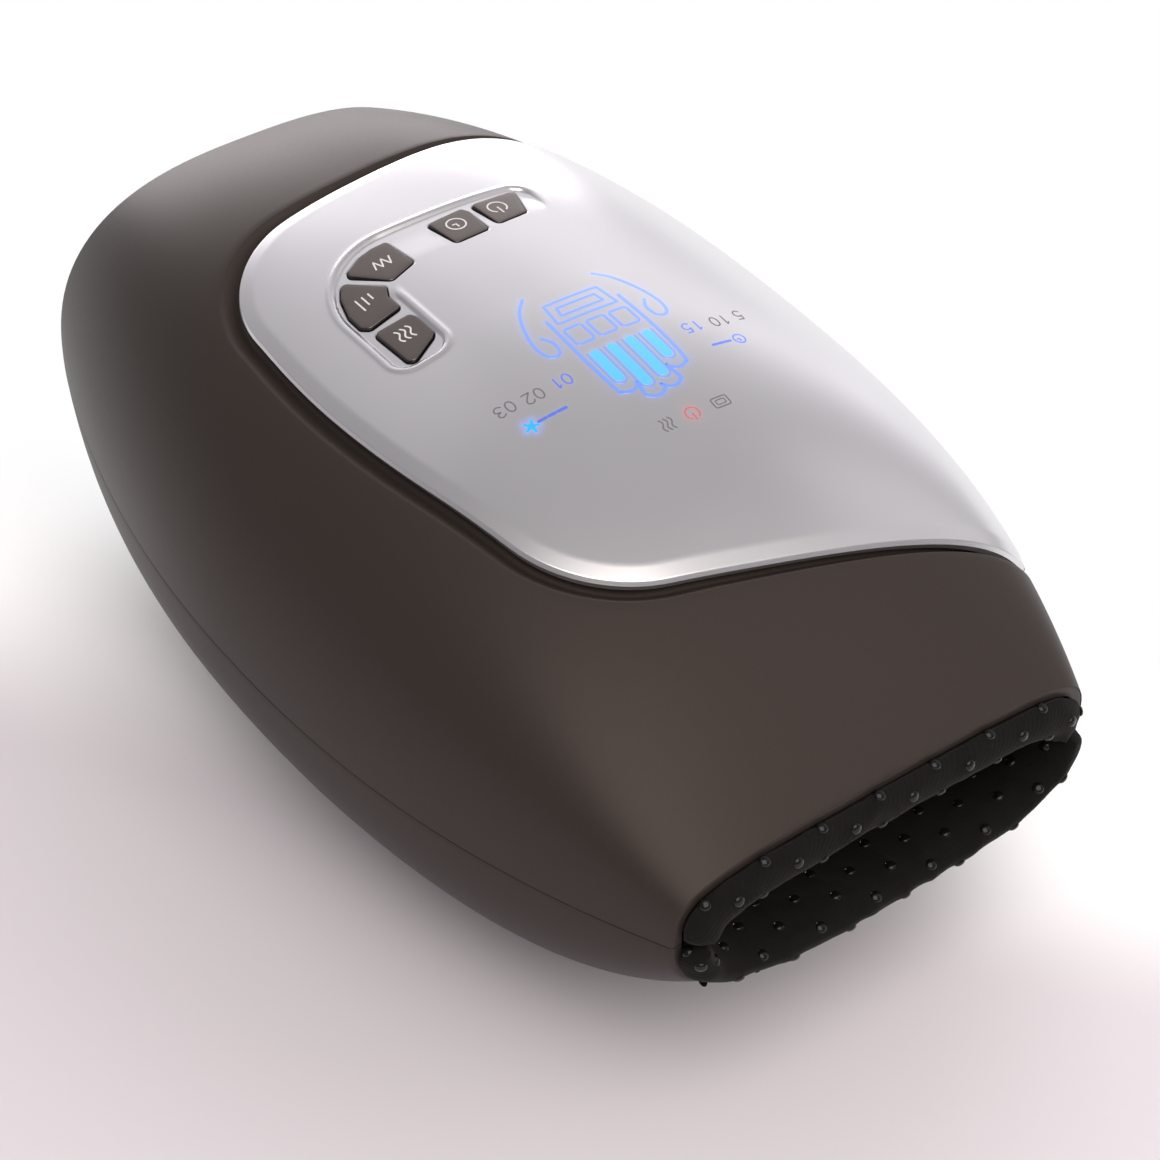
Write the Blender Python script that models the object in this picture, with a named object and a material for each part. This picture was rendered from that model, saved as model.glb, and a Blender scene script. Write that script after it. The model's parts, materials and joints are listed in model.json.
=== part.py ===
"""Hand massager: a domed tunnel with a padded sleeve, an air pump and a sloping control panel.

Units are metres and +Z is up. The tunnel runs along Y. The hand goes in at the rear mouth, at -Y,
and the fingertips point to the front mouth, at +Y. The part stands on the origin.
"""

import math

import bmesh
import bpy
import numpy as np
from mathutils import Vector

MM = 0.001

# Outer body
BODY_LENGTH = 260 * MM
BODY_WIDTH = 170 * MM
CROWN_HEIGHT = 115 * MM
FOOT_LIFT = 2 * MM
WIDEST_Y = -6 * MM
FRONT_MOUTH_WIDTH = 116 * MM
REAR_MOUTH_WIDTH = 121.5 * MM
FRONT_MOUTH_TOP = 71.5 * MM
REAR_MOUTH_TOP = 93.5 * MM
FRONT_MOUTH_BOTTOM = 31 * MM
REAR_MOUTH_BOTTOM = 25.5 * MM
PARTING_MIDDLE = 48.5 * MM
PARTING_FRONT = 54.5 * MM
PARTING_REAR = 44 * MM
WIDTH_POWER_FRONT = 2.2
WIDTH_POWER_REAR = 2.0
TOP_POWER_FRONT = 2.2
TOP_POWER_REAR = 2.55
BOTTOM_POWER = 4.9
DOME_POWER_MIDDLE = 2.35
DOME_POWER_FRONT = 4.2
DOME_POWER_REAR = 2.75
BELLY_POWER = 2.75
EVEN_POWER = 2

# Shells
WALL = 2.4 * MM
CLEARANCE = 0.3 * MM
EDGE_ROUND = 1.0 * MM
EDGE_ROUND_SHARES = ((0.0, 0.7), (0.3, 0.22), (1.0, 0.0))
MOUTH_GAP = 0.5 * MM
LAYER_GAP = 0.6 * MM
OVERRUN = 3 * MM

# Sunken channel and ledge round the panel
LEDGE_WIDTH = 5 * MM
LEDGE_DEPTH = 4 * MM
CHANNEL_FLOOR = 1.8 * MM
CHANNEL_WIDTH = 6 * MM
CHANNEL_NARROW_SHARE = 0.5

# Control panel, measured along the dome from the crown line
PANEL_RIGHT = 55.7 * MM
PANEL_LEFT = 80 * MM
PANEL_REAR = 78 * MM
PANEL_FRONT = 103.7 * MM
PANEL_CORNER = 26 * MM
PANEL_CORNERS_SHARES = (
    (0.895, -0.86, 1.3), (1.0, -0.015, 7.7), (0.70, 0.69, 1.33),
    (-1.0, 1.0, 0.45), (-1.0, 0.10, 6.0), (-0.90, -1.0, 0.54), (-0.49, -1.035, 6.0),
)
PANEL_LIFT = 0.6 * MM
PANEL_THICKNESS = 2.6 * MM
PANEL_CHAMFER = 3.6 * MM
PANEL_CHAMFER_DROP = 1.5 * MM
PANEL_EDGE_ROUND = 0.35 * MM
PANEL_RIM_WIDTH = 3 * MM
PANEL_UNDERSIDE_SHARES = (0.75, 0.5, 0.25)
CORNER_ROOM_SHARE = 0.48
MAIN_CORNER_SHARE = 0.5
SIDE_SPOKES = 25
END_SPOKES = 18
OUTLINE_TURN_WEIGHT = 22 * MM

# Sunken button strip in the panel
STRIP_HALF_WIDTH = 9.3 * MM
STRIP_LEFT = 29.5 * MM
STRIP_REAR = 40.4 * MM
STRIP_BEND_RADIUS = 11 * MM
STRIP_RIGHT = 28.6 * MM
STRIP_FRONT = 1.0 * MM
STRIP_DEPTH = 1.0 * MM
STRIP_SLOPE = 1.0 * MM
STRIP_END_POWER = 4.0
STRIP_STATIONS = 22
STRIP_LANES = 4

# Buttons, each outline in shares of the button size round its centre
BUTTON_SIZE = 13 * MM
BUTTON_CORNER = 1.5 * MM
BUTTON_LIFT = 1.2 * MM
BUTTON_BEVEL = 0.5 * MM
BUTTON_FLANGE = 0.8 * MM
BUTTON_FLANGE_THICKNESS = 1.0 * MM
BUTTON_STEM_RADIUS = 1.6 * MM
BUTTON_TRAVEL = 0.6 * MM
BUTTON_STEPS = 3
BUTTONS_SHARES = {
    "power": ((-1.46, -3.04), ((0.44, -0.40), (-0.60, -0.50), (-0.24, 0.40), (0.46, 0.44))),
    "timer": ((-0.32, -2.92), ((0.38, -0.46), (-0.34, -0.50), (-0.32, 0.50), (0.26, 0.42))),
    "mode": ((1.36, -2.86),
             ((-0.40, -0.52), (-0.44, 0.35), (0.06, 0.47), (0.56, -0.12), (0.44, -0.30), (0.10, -0.48))),
    "intensity": ((2.18, -2.12),
                  ((0.06, -0.76), (-0.52, -0.17), (-0.40, 0.10), (-0.50, 0.38),
                   (0.20, 0.68), (0.44, 0.30), (0.36, -0.30))),
    "heat": ((2.18, -0.82), ((0.36, -0.46), (-0.24, -0.48), (-0.40, 0.30), (0.00, 0.60), (0.30, 0.54))),
}

# Control board under the panel
BOARD_LEFT = 38 * MM
BOARD_RIGHT = 38 * MM
BOARD_REAR = 52 * MM
BOARD_FRONT = 38 * MM
BOARD_THICKNESS = 1.6 * MM
BOARD_BELOW_CROWN = 14.5 * MM
SWITCH_SIZE = 6 * MM
SWITCH_HEIGHT = 3.5 * MM
SWITCH_BUTTON_RADIUS = 1.75 * MM
SWITCH_BUTTON_HEIGHT = 1.5 * MM
LIGHT_GUIDE_WIDTH = 66 * MM
LIGHT_GUIDE_LENGTH = 36 * MM
LIGHT_GUIDE_HEIGHT = 3.2 * MM
LIGHT_GUIDE_X = -3 * MM
LIGHT_GUIDE_Y = 17 * MM
BUZZER_RADIUS = 4.5 * MM
BUZZER_HEIGHT = 3.5 * MM
BUZZER_X = -28 * MM
BUZZER_Y = -14 * MM

# Hand tunnel, measured to the outside of the sleeve, with the room that the body keeps beside and over it
SIDE_ROOM = 30.7 * MM
ROOF_ROOM = 35.4 * MM
TUNNEL_FLOOR = 24 * MM
TUNNEL_WIDTH_POWER = 4.0
TUNNEL_ROOF_POWER = 3.0
TUNNEL_FLOOR_POWER = 3.0
TUNNEL_BLEND_POWER = 4

# Padded sleeve
SLEEVE_PAD = 4.5 * MM
ROLL_THICKNESS = 10 * MM
ROLL_LENGTH = 17 * MM
ROLL_NOSE = 4.5 * MM
TRAY_THICKNESS = 6 * MM
TRAY_NOSE = 6 * MM
ROLL_TAPER = 12 * MM
SLEEVE_NOSE_SHARES = ((1.0, 0.42, 0.62), (0.85, 0.24, 0.82), (0.45, 0.10, 0.96), (0.0, 0.02, 1.0))
SLEEVE_TAPER_SHARES = ((0.0, 0.8), (0.5, 0.3), (1.0, 0.0))

# Air bags, heater and the frames behind them
HEATER_THICKNESS = 0.8 * MM
HEATER_BAYS = 4
HEATER_MARGIN_SHARE = 0.28
BAG_SPACE = 6.9 * MM
BAG_BAYS = 4
UPPER_BAG_MARGIN_SHARE = 0.21
LOWER_BAG_MARGIN_SHARE = 0.14
FRAME_THICKNESS = 2 * MM
FRAME_BAYS = 6
BAY_LENGTH = 35 * MM
NIPPLE_RADIUS = 2 * MM
NIPPLE_REACH = 3 * MM
UPPER_NIPPLE_X = 30 * MM
UPPER_NIPPLE_Y = 46 * MM
LOWER_NIPPLE_Y = 65 * MM
LOWER_NIPPLE_RISE = 16 * MM
POST_RADIUS = 2.5 * MM
POST_SINK_SHARE = 0.7
BOARD_POST_X = 24 * MM
BOARD_POST_REAR = 46 * MM
BOARD_POST_FRONT = 32 * MM

# Shelves on the floor frame. Insets here and below are measured from the belly's side at the cells' ends
SHELF_TOP = 24.3 * MM
SHELF_THICKNESS = 2 * MM
SHELF_INNER_INSET = 34.5 * MM
SHELF_OUTER_INSET = 11.2 * MM
SHELF_REAR = 66 * MM
SHELF_FRONT = 54 * MM

# Batteries
CELL_RADIUS = 9.2 * MM
CELL_LENGTH = 65 * MM
CELL_CAP_RADIUS = 5 * MM
CELL_CAP_HEIGHT = 1 * MM
CELL_PITCH = 20 * MM
CELL_INSET = 9.5 * MM
HOLDER_WALL = 2 * MM
HOLDER_OUTER_INSET = 7.7 * MM
HOLDER_INNER_INSET = 21.3 * MM

# Air pump
MOTOR_RADIUS = 9.5 * MM
MOTOR_LENGTH = 28 * MM
MOTOR_REAR = 38 * MM
PUMP_INSET = 10.3 * MM
PUMP_HEAD_WIDTH = 18 * MM
PUMP_HEAD_LENGTH = 18 * MM
PUMP_HEAD_HEIGHT = 18 * MM
PUMP_CHAMBER_RADIUS = 7 * MM
PUMP_CHAMBER_DEPTH = 8 * MM
SHAFT_RADIUS = 1 * MM
SHAFT_LENGTH = 12 * MM
ECCENTRIC_RADIUS = 4 * MM
ECCENTRIC_OFFSET = 1.5 * MM
ECCENTRIC_LENGTH = 4 * MM
CRADLE_WALL = 2 * MM
CRADLE_WIDTH = 10 * MM

# Valves
MANIFOLD_WIDTH = 12 * MM
MANIFOLD_LENGTH = 28 * MM
MANIFOLD_HEIGHT = 9 * MM
MANIFOLD_INSET = 14.2 * MM
MANIFOLD_REAR = 22 * MM
VALVE_SIZE = 11 * MM
VALVE_HEIGHT = 14 * MM
PLUNGER_RADIUS = 2 * MM
PLUNGER_LENGTH = 9 * MM
PLUNGER_SHOWN = 2.5 * MM
PLUNGER_TRAVEL = 1.2 * MM
HOSE_RADIUS = 2 * MM
HOSE_TURNS_SHARES = (0.82, 0.58, 0.33)
PORT_RADIUS = 2 * MM
PORT_LENGTH = 2 * MM
PORT_INSET = 4 * MM

# Charging socket
CHARGE_BOARD_WIDTH = 14 * MM
CHARGE_BOARD_LENGTH = 22 * MM
CHARGE_Y = -53 * MM
SOCKET_WIDTH = 9 * MM
SOCKET_DEPTH = 10 * MM
SOCKET_HEIGHT = 3.6 * MM
SOCKET_WALL = 0.5 * MM
SOCKET_INSET = 0.7 * MM
CHARGE_BOARD_INSET = 11.7 * MM

# Wires, with the turns at which each lies on the frames, in shares of the turn to its top end
LEAD_RADIUS = 1.2 * MM
LEAD_TOP_X = 34 * MM
BATTERY_LEAD_SHARES = (0.63, 0.82)
PUMP_LEAD_SHARES = (0.33, 0.56, 0.78)
CHARGE_LEAD_SHARES = (-0.11, 0.11, 0.33, 0.56, 0.78)

# Feet and screws
FOOT_RADIUS = 6.5 * MM
FOOT_HEIGHT = 1.9 * MM
FOOT_PEG_RADIUS = 2.5 * MM
FOOT_PEG_LENGTH = 3 * MM
FOOT_INSET = 43 * MM
FOOT_Y = 56 * MM
PAD_RADIUS = 8 * MM
PAD_HEIGHT = 6.5 * MM
SCREW_INSET = 53 * MM
SCREW_Y = 30 * MM
SCREW_HEAD_RADIUS = 3 * MM
SCREW_HEAD_HEIGHT = 2.2 * MM
SCREW_RADIUS = 1.4 * MM
SCREW_LENGTH = 12 * MM
SCREW_SEAT = 6.6 * MM
BOSS_RADIUS = 5 * MM
BOSS_TOP = 10 * MM

# Fineness
ROUND_SIDES = 18
SMALL_SIDES = 10
ARC_SAMPLES = 61
SHELL_STATIONS = 12
ROUND_TURNS = 14
CHANNEL_RINGS = 5
TUBE_STEP_SHARE = 3.5
DOME_RINGS = 5
PANEL_RINGS = 5

# Derived sizes
HALF_LENGTH = BODY_LENGTH / 2
HALF_WIDTH = BODY_WIDTH / 2
FOOT_X = HALF_WIDTH - FOOT_INSET
SCREW_X = HALF_WIDTH - SCREW_INSET
FRAME_OUTSET = BAG_SPACE + FRAME_THICKNESS
BOARD_TOP = FOOT_LIFT + CROWN_HEIGHT - BOARD_BELOW_CROWN
SWITCH_TOP = BOARD_TOP + CLEARANCE + SWITCH_HEIGHT + SWITCH_BUTTON_HEIGHT
SHELF_SEAT = SHELF_TOP + FOOT_LIFT + CLEARANCE
PAD_BOTTOM = FOOT_HEIGHT + CLEARANCE
MOTOR_Z = SHELF_SEAT + CRADLE_WALL + CLEARANCE + MOTOR_RADIUS
NORMAL_STEP = CLEARANCE


def clear_scene():
    """Remove every object that the scene starts with."""
    for item in list(bpy.data.objects):
        bpy.data.objects.remove(item, do_unlink=True)


def make_collection(name):
    """Add a collection to the scene."""
    collection = bpy.data.collections.new(name)
    bpy.context.scene.collection.children.link(collection)
    return collection


clear_scene()
PARTS = make_collection("hand_massager")
CUTTERS = make_collection("cutters")


def make_material(name, colour, roughness, metallic=0.0):
    """A plain material with one colour."""
    material = bpy.data.materials.new(name)
    material.use_nodes = True
    shader = material.node_tree.nodes["Principled BSDF"]
    shader.inputs["Base Color"].default_value = (*colour, 1.0)
    shader.inputs["Roughness"].default_value = roughness
    shader.inputs["Metallic"].default_value = metallic
    return material


SHELL_PAINT = make_material("shell_paint", (0.10, 0.085, 0.08), 0.4, 0.3)
PANEL_PAINT = make_material("panel_paint", (0.55, 0.55, 0.58), 0.35, 0.6)
BUTTON_PAINT = make_material("button_paint", (0.09, 0.08, 0.075), 0.35)
FABRIC = make_material("fabric", (0.008, 0.008, 0.009), 0.9)
FRAME_PLASTIC = make_material("frame_plastic", (0.75, 0.75, 0.73), 0.5)
BOARD_GREEN = make_material("board_green", (0.02, 0.18, 0.07), 0.5)
STEEL = make_material("steel", (0.6, 0.6, 0.62), 0.3, 1.0)
RUBBER = make_material("rubber", (0.02, 0.02, 0.02), 0.8)
BAG_FILM = make_material("bag_film", (0.7, 0.72, 0.75), 0.4)
HEATER_FILM = make_material("heater_film", (0.8, 0.4, 0.08), 0.5)
CELL_WRAP = make_material("cell_wrap", (0.05, 0.2, 0.5), 0.4)
DIFFUSER = make_material("diffuser", (0.85, 0.85, 0.85), 0.6)
SILICONE = make_material("silicone", (0.8, 0.8, 0.8), 0.5)
WIRE_RED = make_material("wire_red", (0.6, 0.03, 0.02), 0.5)


def link(name, mesh, material, collection=PARTS):
    """Make an object of a mesh and give it its material."""
    item = bpy.data.objects.new(name, mesh)
    collection.objects.link(item)
    if material is not None:
        mesh.materials.append(material)
    if collection is CUTTERS:
        item.hide_render = True
        item.display_type = "WIRE"
    return item


def solid_from(name, points, faces, material, collection=PARTS):
    """A closed mesh object from points and faces, smooth but for its sharp edges."""
    form = bmesh.new()
    corners = [form.verts.new(point) for point in points]
    for face in faces:
        form.faces.new([corners[index] for index in face])
    bmesh.ops.recalc_face_normals(form, faces=form.faces)
    mesh = bpy.data.meshes.new(name)
    form.to_mesh(mesh)
    form.free()
    mesh.shade_smooth()
    mesh.set_sharp_from_angle(angle=math.radians(35))
    return link(name, mesh, material, collection)


def loops_solid(name, loops, material, hubs=None, collection=PARTS):
    """Join loops of points into a skin. Two hubs close its ends, or without them it closes on itself."""
    count = len(loops[0])
    points = [point for loop in loops for point in loop]
    rows = len(loops)
    faces = []
    for row in range(rows if hubs is None else rows - 1):
        for column in range(count):
            here = row * count
            there = (row + 1) % rows * count
            after = (column + 1) % count
            faces.append((here + column, here + after, there + after, there + column))
    if hubs is not None:
        for hub, row in zip(hubs, (0, rows - 1)):
            points.append(hub)
            for column in range(count):
                first = row * count + column
                second = row * count + (column + 1) % count
                faces.append((first, second, len(points) - 1))
    return solid_from(name, points, faces, material, collection)


def sheet_solid(name, outer, inner, material, collection=PARTS):
    """A thick sheet between two grids of points, with its edges closed. Like grids fold alike."""
    rows = len(outer)
    columns = len(outer[0])
    points = [point for row in outer for point in row] + [point for row in inner for point in row]
    back = rows * columns
    faces = []
    for row in range(rows - 1):
        for column in range(columns - 1):
            first = row * columns + column
            third = first + columns + 1
            for half in ((first, first + 1, third), (first, third, third - 1)):
                faces.append(half)
                faces.append(tuple(index + back for index in reversed(half)))
    edge = [column for column in range(columns)]
    edge += [row * columns + columns - 1 for row in range(1, rows)]
    edge += [(rows - 1) * columns + column for column in range(columns - 2, -1, -1)]
    edge += [row * columns for row in range(rows - 2, 0, -1)]
    for index, first in enumerate(edge):
        second = edge[(index + 1) % len(edge)]
        faces.append((first, second, second + back, first + back))
    return solid_from(name, points, faces, material, collection)


def box(name, low, high, material, collection=PARTS):
    """A box between two corners."""
    form = bmesh.new()
    bmesh.ops.create_cube(form, size=1.0)
    low = Vector(low)
    high = Vector(high)
    for corner in form.verts:
        corner.co = Vector([(low[i] + high[i]) / 2 + corner.co[i] * (high[i] - low[i]) for i in range(3)])
    mesh = bpy.data.meshes.new(name)
    form.to_mesh(mesh)
    form.free()
    return link(name, mesh, material, collection)


def rod(name, start, end, radius, material, sides=ROUND_SIDES, collection=PARTS, end_radius=None):
    """A round bar between two points."""
    start = Vector(start)
    end = Vector(end)
    span = end - start
    form = bmesh.new()
    bmesh.ops.create_cone(form, cap_ends=True, segments=sides, radius1=radius,
                          radius2=radius if end_radius is None else end_radius, depth=span.length)
    mesh = bpy.data.meshes.new(name)
    form.to_mesh(mesh)
    form.free()
    turn = Vector((0, 0, 1)).rotation_difference(span).to_matrix().to_4x4()
    turn.translation = (start + end) / 2
    mesh.transform(turn)
    mesh.shade_smooth()
    mesh.set_sharp_from_angle(angle=math.radians(40))
    return link(name, mesh, material, collection)


def set_origin(item, place):
    """Move an object's origin to a point, with its mesh where it was."""
    place = Vector(place)
    for corner in item.data.vertices:
        corner.co = corner.co - place
    item.location = place


def combine(target, others, operation="DIFFERENCE"):
    """Cut or join a solid with others that are kept as cutters."""
    for other in others:
        change = target.modifiers.new(other.name, "BOOLEAN")
        change.operation = operation
        change.solver = "EXACT"
        change.object = other


def tube(name, route, radius, material):
    """A flexible tube or wire along a smooth curve through its route."""
    curve = bpy.data.curves.new(name, "CURVE")
    curve.dimensions = "3D"
    curve.bevel_depth = radius
    curve.bevel_resolution = 1
    curve.use_fill_caps = True
    line = curve.splines.new("POLY")
    places = smooth_route(route, TUBE_STEP_SHARE * radius)
    line.points.add(len(places) - 1)
    for point, place in zip(line.points, places):
        point.co = (*place, 1.0)
    item = bpy.data.objects.new(name, curve)
    PARTS.objects.link(item)
    curve.materials.append(material)
    return item


def smooth_route(route, step):
    """Spaced points on a Catmull-Rom curve through the route, straight at both ends."""
    route = [Vector(place) for place in route]
    route.insert(1, (route[0] + route[1]) / 2)
    route.insert(-1, (route[-2] + route[-1]) / 2)
    padded = [2 * route[0] - route[1]] + route + [2 * route[-1] - route[-2]]
    places = []
    for index in range(1, len(padded) - 2):
        before, start, end, after = padded[index - 1:index + 3]
        steps = max(1, round((end - start).length / step))
        for number in range(steps):
            share = number / steps
            places.append(0.5 * (
                2 * start + (end - before) * share
                + (2 * before - 5 * start + 4 * end - after) * share ** 2
                + (3 * start - before - 3 * end + after) * share ** 3))
    places.append(route[-1])
    return places


# Body sections: half width, top, parting height, bottom, and the power of each curve

def fall(y, peak_y, peak, front, rear, front_power, rear_power):
    """A size that is peak at peak_y and falls to its values at both mouths."""
    if y > peak_y:
        share = (y - peak_y) / (HALF_LENGTH - peak_y)
        return peak - (peak - front) * share ** front_power
    share = (peak_y - y) / (HALF_LENGTH + peak_y)
    return peak - (peak - rear) * share ** rear_power


def body_section(y):
    """The outer body's section at y."""
    half_width = fall(y, WIDEST_Y, HALF_WIDTH, FRONT_MOUTH_WIDTH / 2, REAR_MOUTH_WIDTH / 2,
                      WIDTH_POWER_FRONT, WIDTH_POWER_REAR)
    top = fall(y, WIDEST_Y, CROWN_HEIGHT, FRONT_MOUTH_TOP, REAR_MOUTH_TOP,
               TOP_POWER_FRONT, TOP_POWER_REAR)
    parting = fall(y, 0, PARTING_MIDDLE, PARTING_FRONT, PARTING_REAR, EVEN_POWER, EVEN_POWER)
    bottom = fall(y, 0, 0, FRONT_MOUTH_BOTTOM, REAR_MOUTH_BOTTOM, BOTTOM_POWER, BOTTOM_POWER)
    power = fall(y, 0, DOME_POWER_MIDDLE, DOME_POWER_FRONT, DOME_POWER_REAR, EVEN_POWER, EVEN_POWER)
    return (half_width, top + FOOT_LIFT, parting + FOOT_LIFT, bottom + FOOT_LIFT, power, BELLY_POWER)


def belly_side(y, height):
    """The half width of the belly's outside at a height."""
    half_width, _top, parting, bottom, _roof, power = body_section(y)
    share = (parting - height) / (parting - bottom)
    return half_width * (1 - share ** power) ** (1 / power)


BELLY_SIDE = belly_side(CELL_LENGTH / 2, SHELF_SEAT)
TUNNEL_WIDTH = 2 * (BELLY_SIDE - SIDE_ROOM)
SHELF_INNER = BELLY_SIDE - SHELF_INNER_INSET
SHELF_OUTER = BELLY_SIDE - SHELF_OUTER_INSET
CELL_X = BELLY_SIDE - CELL_INSET
HOLDER_OUTER = BELLY_SIDE - HOLDER_OUTER_INSET
HOLDER_INNER = BELLY_SIDE - HOLDER_INNER_INSET
PUMP_X = BELLY_SIDE - PUMP_INSET
MANIFOLD_X = BELLY_SIDE - MANIFOLD_INSET
SOCKET_FRONT = belly_side(CHARGE_Y, SHELF_SEAT + BOARD_THICKNESS) - SOCKET_INSET
CHARGE_BOARD_OUTER = BELLY_SIDE - CHARGE_BOARD_INSET


def tunnel_section(y):
    """The section of the sleeve's outside at y. It meets the inside of the shells at both mouths."""
    y = max(-HALF_LENGTH, min(HALF_LENGTH, y))
    front = body_section(HALF_LENGTH)
    rear = body_section(-HALF_LENGTH)
    here = body_section(y)
    seat = WALL + MOUTH_GAP
    share = (y + HALF_LENGTH) / BODY_LENGTH
    half_width = fall(y, 0, TUNNEL_WIDTH / 2, front[0] - seat, rear[0] - seat,
                      TUNNEL_WIDTH_POWER, TUNNEL_WIDTH_POWER)
    line = (rear[1] - seat) * (1 - share) + (front[1] - seat) * share
    drop = (rear[1] + front[1]) / 2 - seat - (FOOT_LIFT + CROWN_HEIGHT - ROOF_ROOM)
    top = line - fall(y, 0, drop, 0, 0, EVEN_POWER, EVEN_POWER)
    bottom = fall(y, 0, TUNNEL_FLOOR + FOOT_LIFT, front[3] + seat, rear[3] + seat, EVEN_POWER, EVEN_POWER)
    roof_power = fall(y, 0, TUNNEL_ROOF_POWER, front[4], rear[4], TUNNEL_BLEND_POWER, TUNNEL_BLEND_POWER)
    floor_power = fall(y, 0, TUNNEL_FLOOR_POWER, front[5], rear[5], TUNNEL_BLEND_POWER, TUNNEL_BLEND_POWER)
    return (half_width, top, here[2], bottom, roof_power, floor_power)


def section_point(section, y, turn, inset=0.0):
    """The point of a section at a turn from +X. An inset draws the section in on all sides."""
    half_width, top, parting, bottom, roof_power, floor_power = section
    upper = math.sin(turn) >= 0
    rise = (top - parting if upper else parting - bottom) - inset
    power = roof_power if upper else floor_power
    reach = half_width - inset
    across = abs(math.cos(turn)) / reach
    upward = abs(math.sin(turn)) / rise
    radius = (across ** power + upward ** power) ** (-1 / power)
    return Vector((radius * math.cos(turn), y, parting + radius * math.sin(turn)))


def body_point(y, turn, inset=0.0):
    """A point of the outer body."""
    return section_point(body_section(y), y, turn, inset)


def tunnel_point(y, turn, outset=0.0):
    """A point on or round the sleeve's outside."""
    return section_point(tunnel_section(y), y, turn, -outset)


def edge_turn(y):
    """The turn at which a shell's edge stands half a clearance from the parting height."""
    return CLEARANCE / 2 / body_section(y)[0]


def arc_table(y):
    """Turns from the crown down to the parting edge, with the length of skin to each."""
    half_width, top, parting, _bottom, power, _floor = body_section(y)
    turns = np.linspace(math.pi / 2, edge_turn(y), ARC_SAMPLES)
    across = (np.cos(turns) / half_width) ** power
    upward = (np.sin(turns) / (top - parting)) ** power
    radius = (across + upward) ** (-1 / power)
    steps = np.hypot(np.diff(radius * np.cos(turns)), np.diff(radius * np.sin(turns)))
    return turns, np.concatenate(([0.0], np.cumsum(steps)))


def skin_turn(across, y):
    """The turn at a length along the skin from the crown, to +X if it is positive."""
    turns, lengths = arc_table(y)
    turn = float(np.interp(abs(across), lengths, turns))
    return turn if across >= 0 else math.pi - turn


def skin_reach(y):
    """The length of skin from the crown to the parting edge."""
    return float(arc_table(y)[1][-1])


def skin_point(across, y, lift=0.0):
    """A point of the dome, lifted off it along its normal."""
    place = body_point(y, skin_turn(across, y))
    if lift == 0:
        return place
    return place + skin_normal(across, y) * lift


def skin_normal(across, y):
    """The dome's outward normal."""
    sideways = skin_point(across + NORMAL_STEP, y) - skin_point(across - NORMAL_STEP, y)
    along = skin_point(across, y + NORMAL_STEP) - skin_point(across, y - NORMAL_STEP)
    return sideways.cross(along).normalized()


def dome_height(x, y):
    """The dome's height over a point of the plan."""
    half_width, top, parting, _bottom, power, _floor = body_section(y)
    return parting + (top - parting) * (1 - (abs(x) / half_width) ** power) ** (1 / power)


# Outlines

def rounded_outline(corners, steps):
    """Points round a polygon with its corners as arcs, and the place of each arc's middle."""
    points = []
    middles = []
    for index, (x, y, radius) in enumerate(corners):
        here = Vector((x, y))
        before = Vector(corners[index - 1][:2])
        after = Vector(corners[(index + 1) % len(corners)][:2])
        inward = (here - before).normalized()
        outward = (after - here).normalized()
        turn = math.atan2(inward.x * outward.y - inward.y * outward.x, inward.dot(outward))
        room = CORNER_ROOM_SHARE * min((here - before).length, (after - here).length)
        radius = min(radius, room / max(abs(math.tan(turn / 2)), 1e-6))
        start = here - inward * radius * abs(math.tan(turn / 2))
        side = Vector((-inward.y, inward.x)) * (1 if turn > 0 else -1)
        centre = start + side * radius
        middles.append(len(points) + steps // 2)
        for number in range(steps + 1):
            angle = turn * number / steps
            arm = start - centre
            points.append(centre + Vector((arm.x * math.cos(angle) - arm.y * math.sin(angle),
                                           arm.x * math.sin(angle) + arm.y * math.cos(angle))))
    return points, middles


def spread(points, start, end, count):
    """Points along a stretch of a closed outline, closer together where it turns."""
    total = len(points)
    end = end if end > start else end + total
    stretch = [points[index % total] for index in range(start, end + 1)]
    measure = [0.0]
    for index in range(1, len(stretch)):
        step = (stretch[index] - stretch[index - 1]).length
        before = points[(start + index - 1) % total] - points[(start + index - 2) % total]
        here = points[(start + index) % total] - points[(start + index - 1) % total]
        bend = before.angle(here, 0.0)
        measure.append(measure[-1] + step + OUTLINE_TURN_WEIGHT * bend)
    wanted = np.linspace(0, measure[-1], count, endpoint=False)
    xs = np.interp(wanted, measure, [point.x for point in stretch])
    ys = np.interp(wanted, measure, [point.y for point in stretch])
    return [Vector((x, y)) for x, y in zip(xs, ys)]


def outline_normals(points):
    """Outward normals of a closed outline that runs counterclockwise."""
    normals = []
    for index in range(len(points)):
        along = points[(index + 1) % len(points)] - points[index - 1]
        normals.append(Vector((along.y, -along.x)).normalized())
    return normals


def panel_outline():
    """The panel's edge in skin lengths, in four stretches that match the shell's four sides."""
    corners = []
    for across, along, corner in PANEL_CORNERS_SHARES:
        x = across * (PANEL_RIGHT if across > 0 else PANEL_LEFT)
        y = along * (PANEL_FRONT if along > 0 else PANEL_REAR)
        corners.append((x, y, corner * PANEL_CORNER))
    points, middles = rounded_outline(corners, 24)
    starts = [middle for middle, (across, along, _corner) in zip(middles, PANEL_CORNERS_SHARES)
              if min(abs(across), abs(along)) > MAIN_CORNER_SHARE]
    counts = (SIDE_SPOKES, END_SPOKES, SIDE_SPOKES, END_SPOKES)
    outline = []
    for index, count in enumerate(counts):
        outline += spread(points, starts[index], starts[(index + 1) % 4], count)
    return outline


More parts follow.
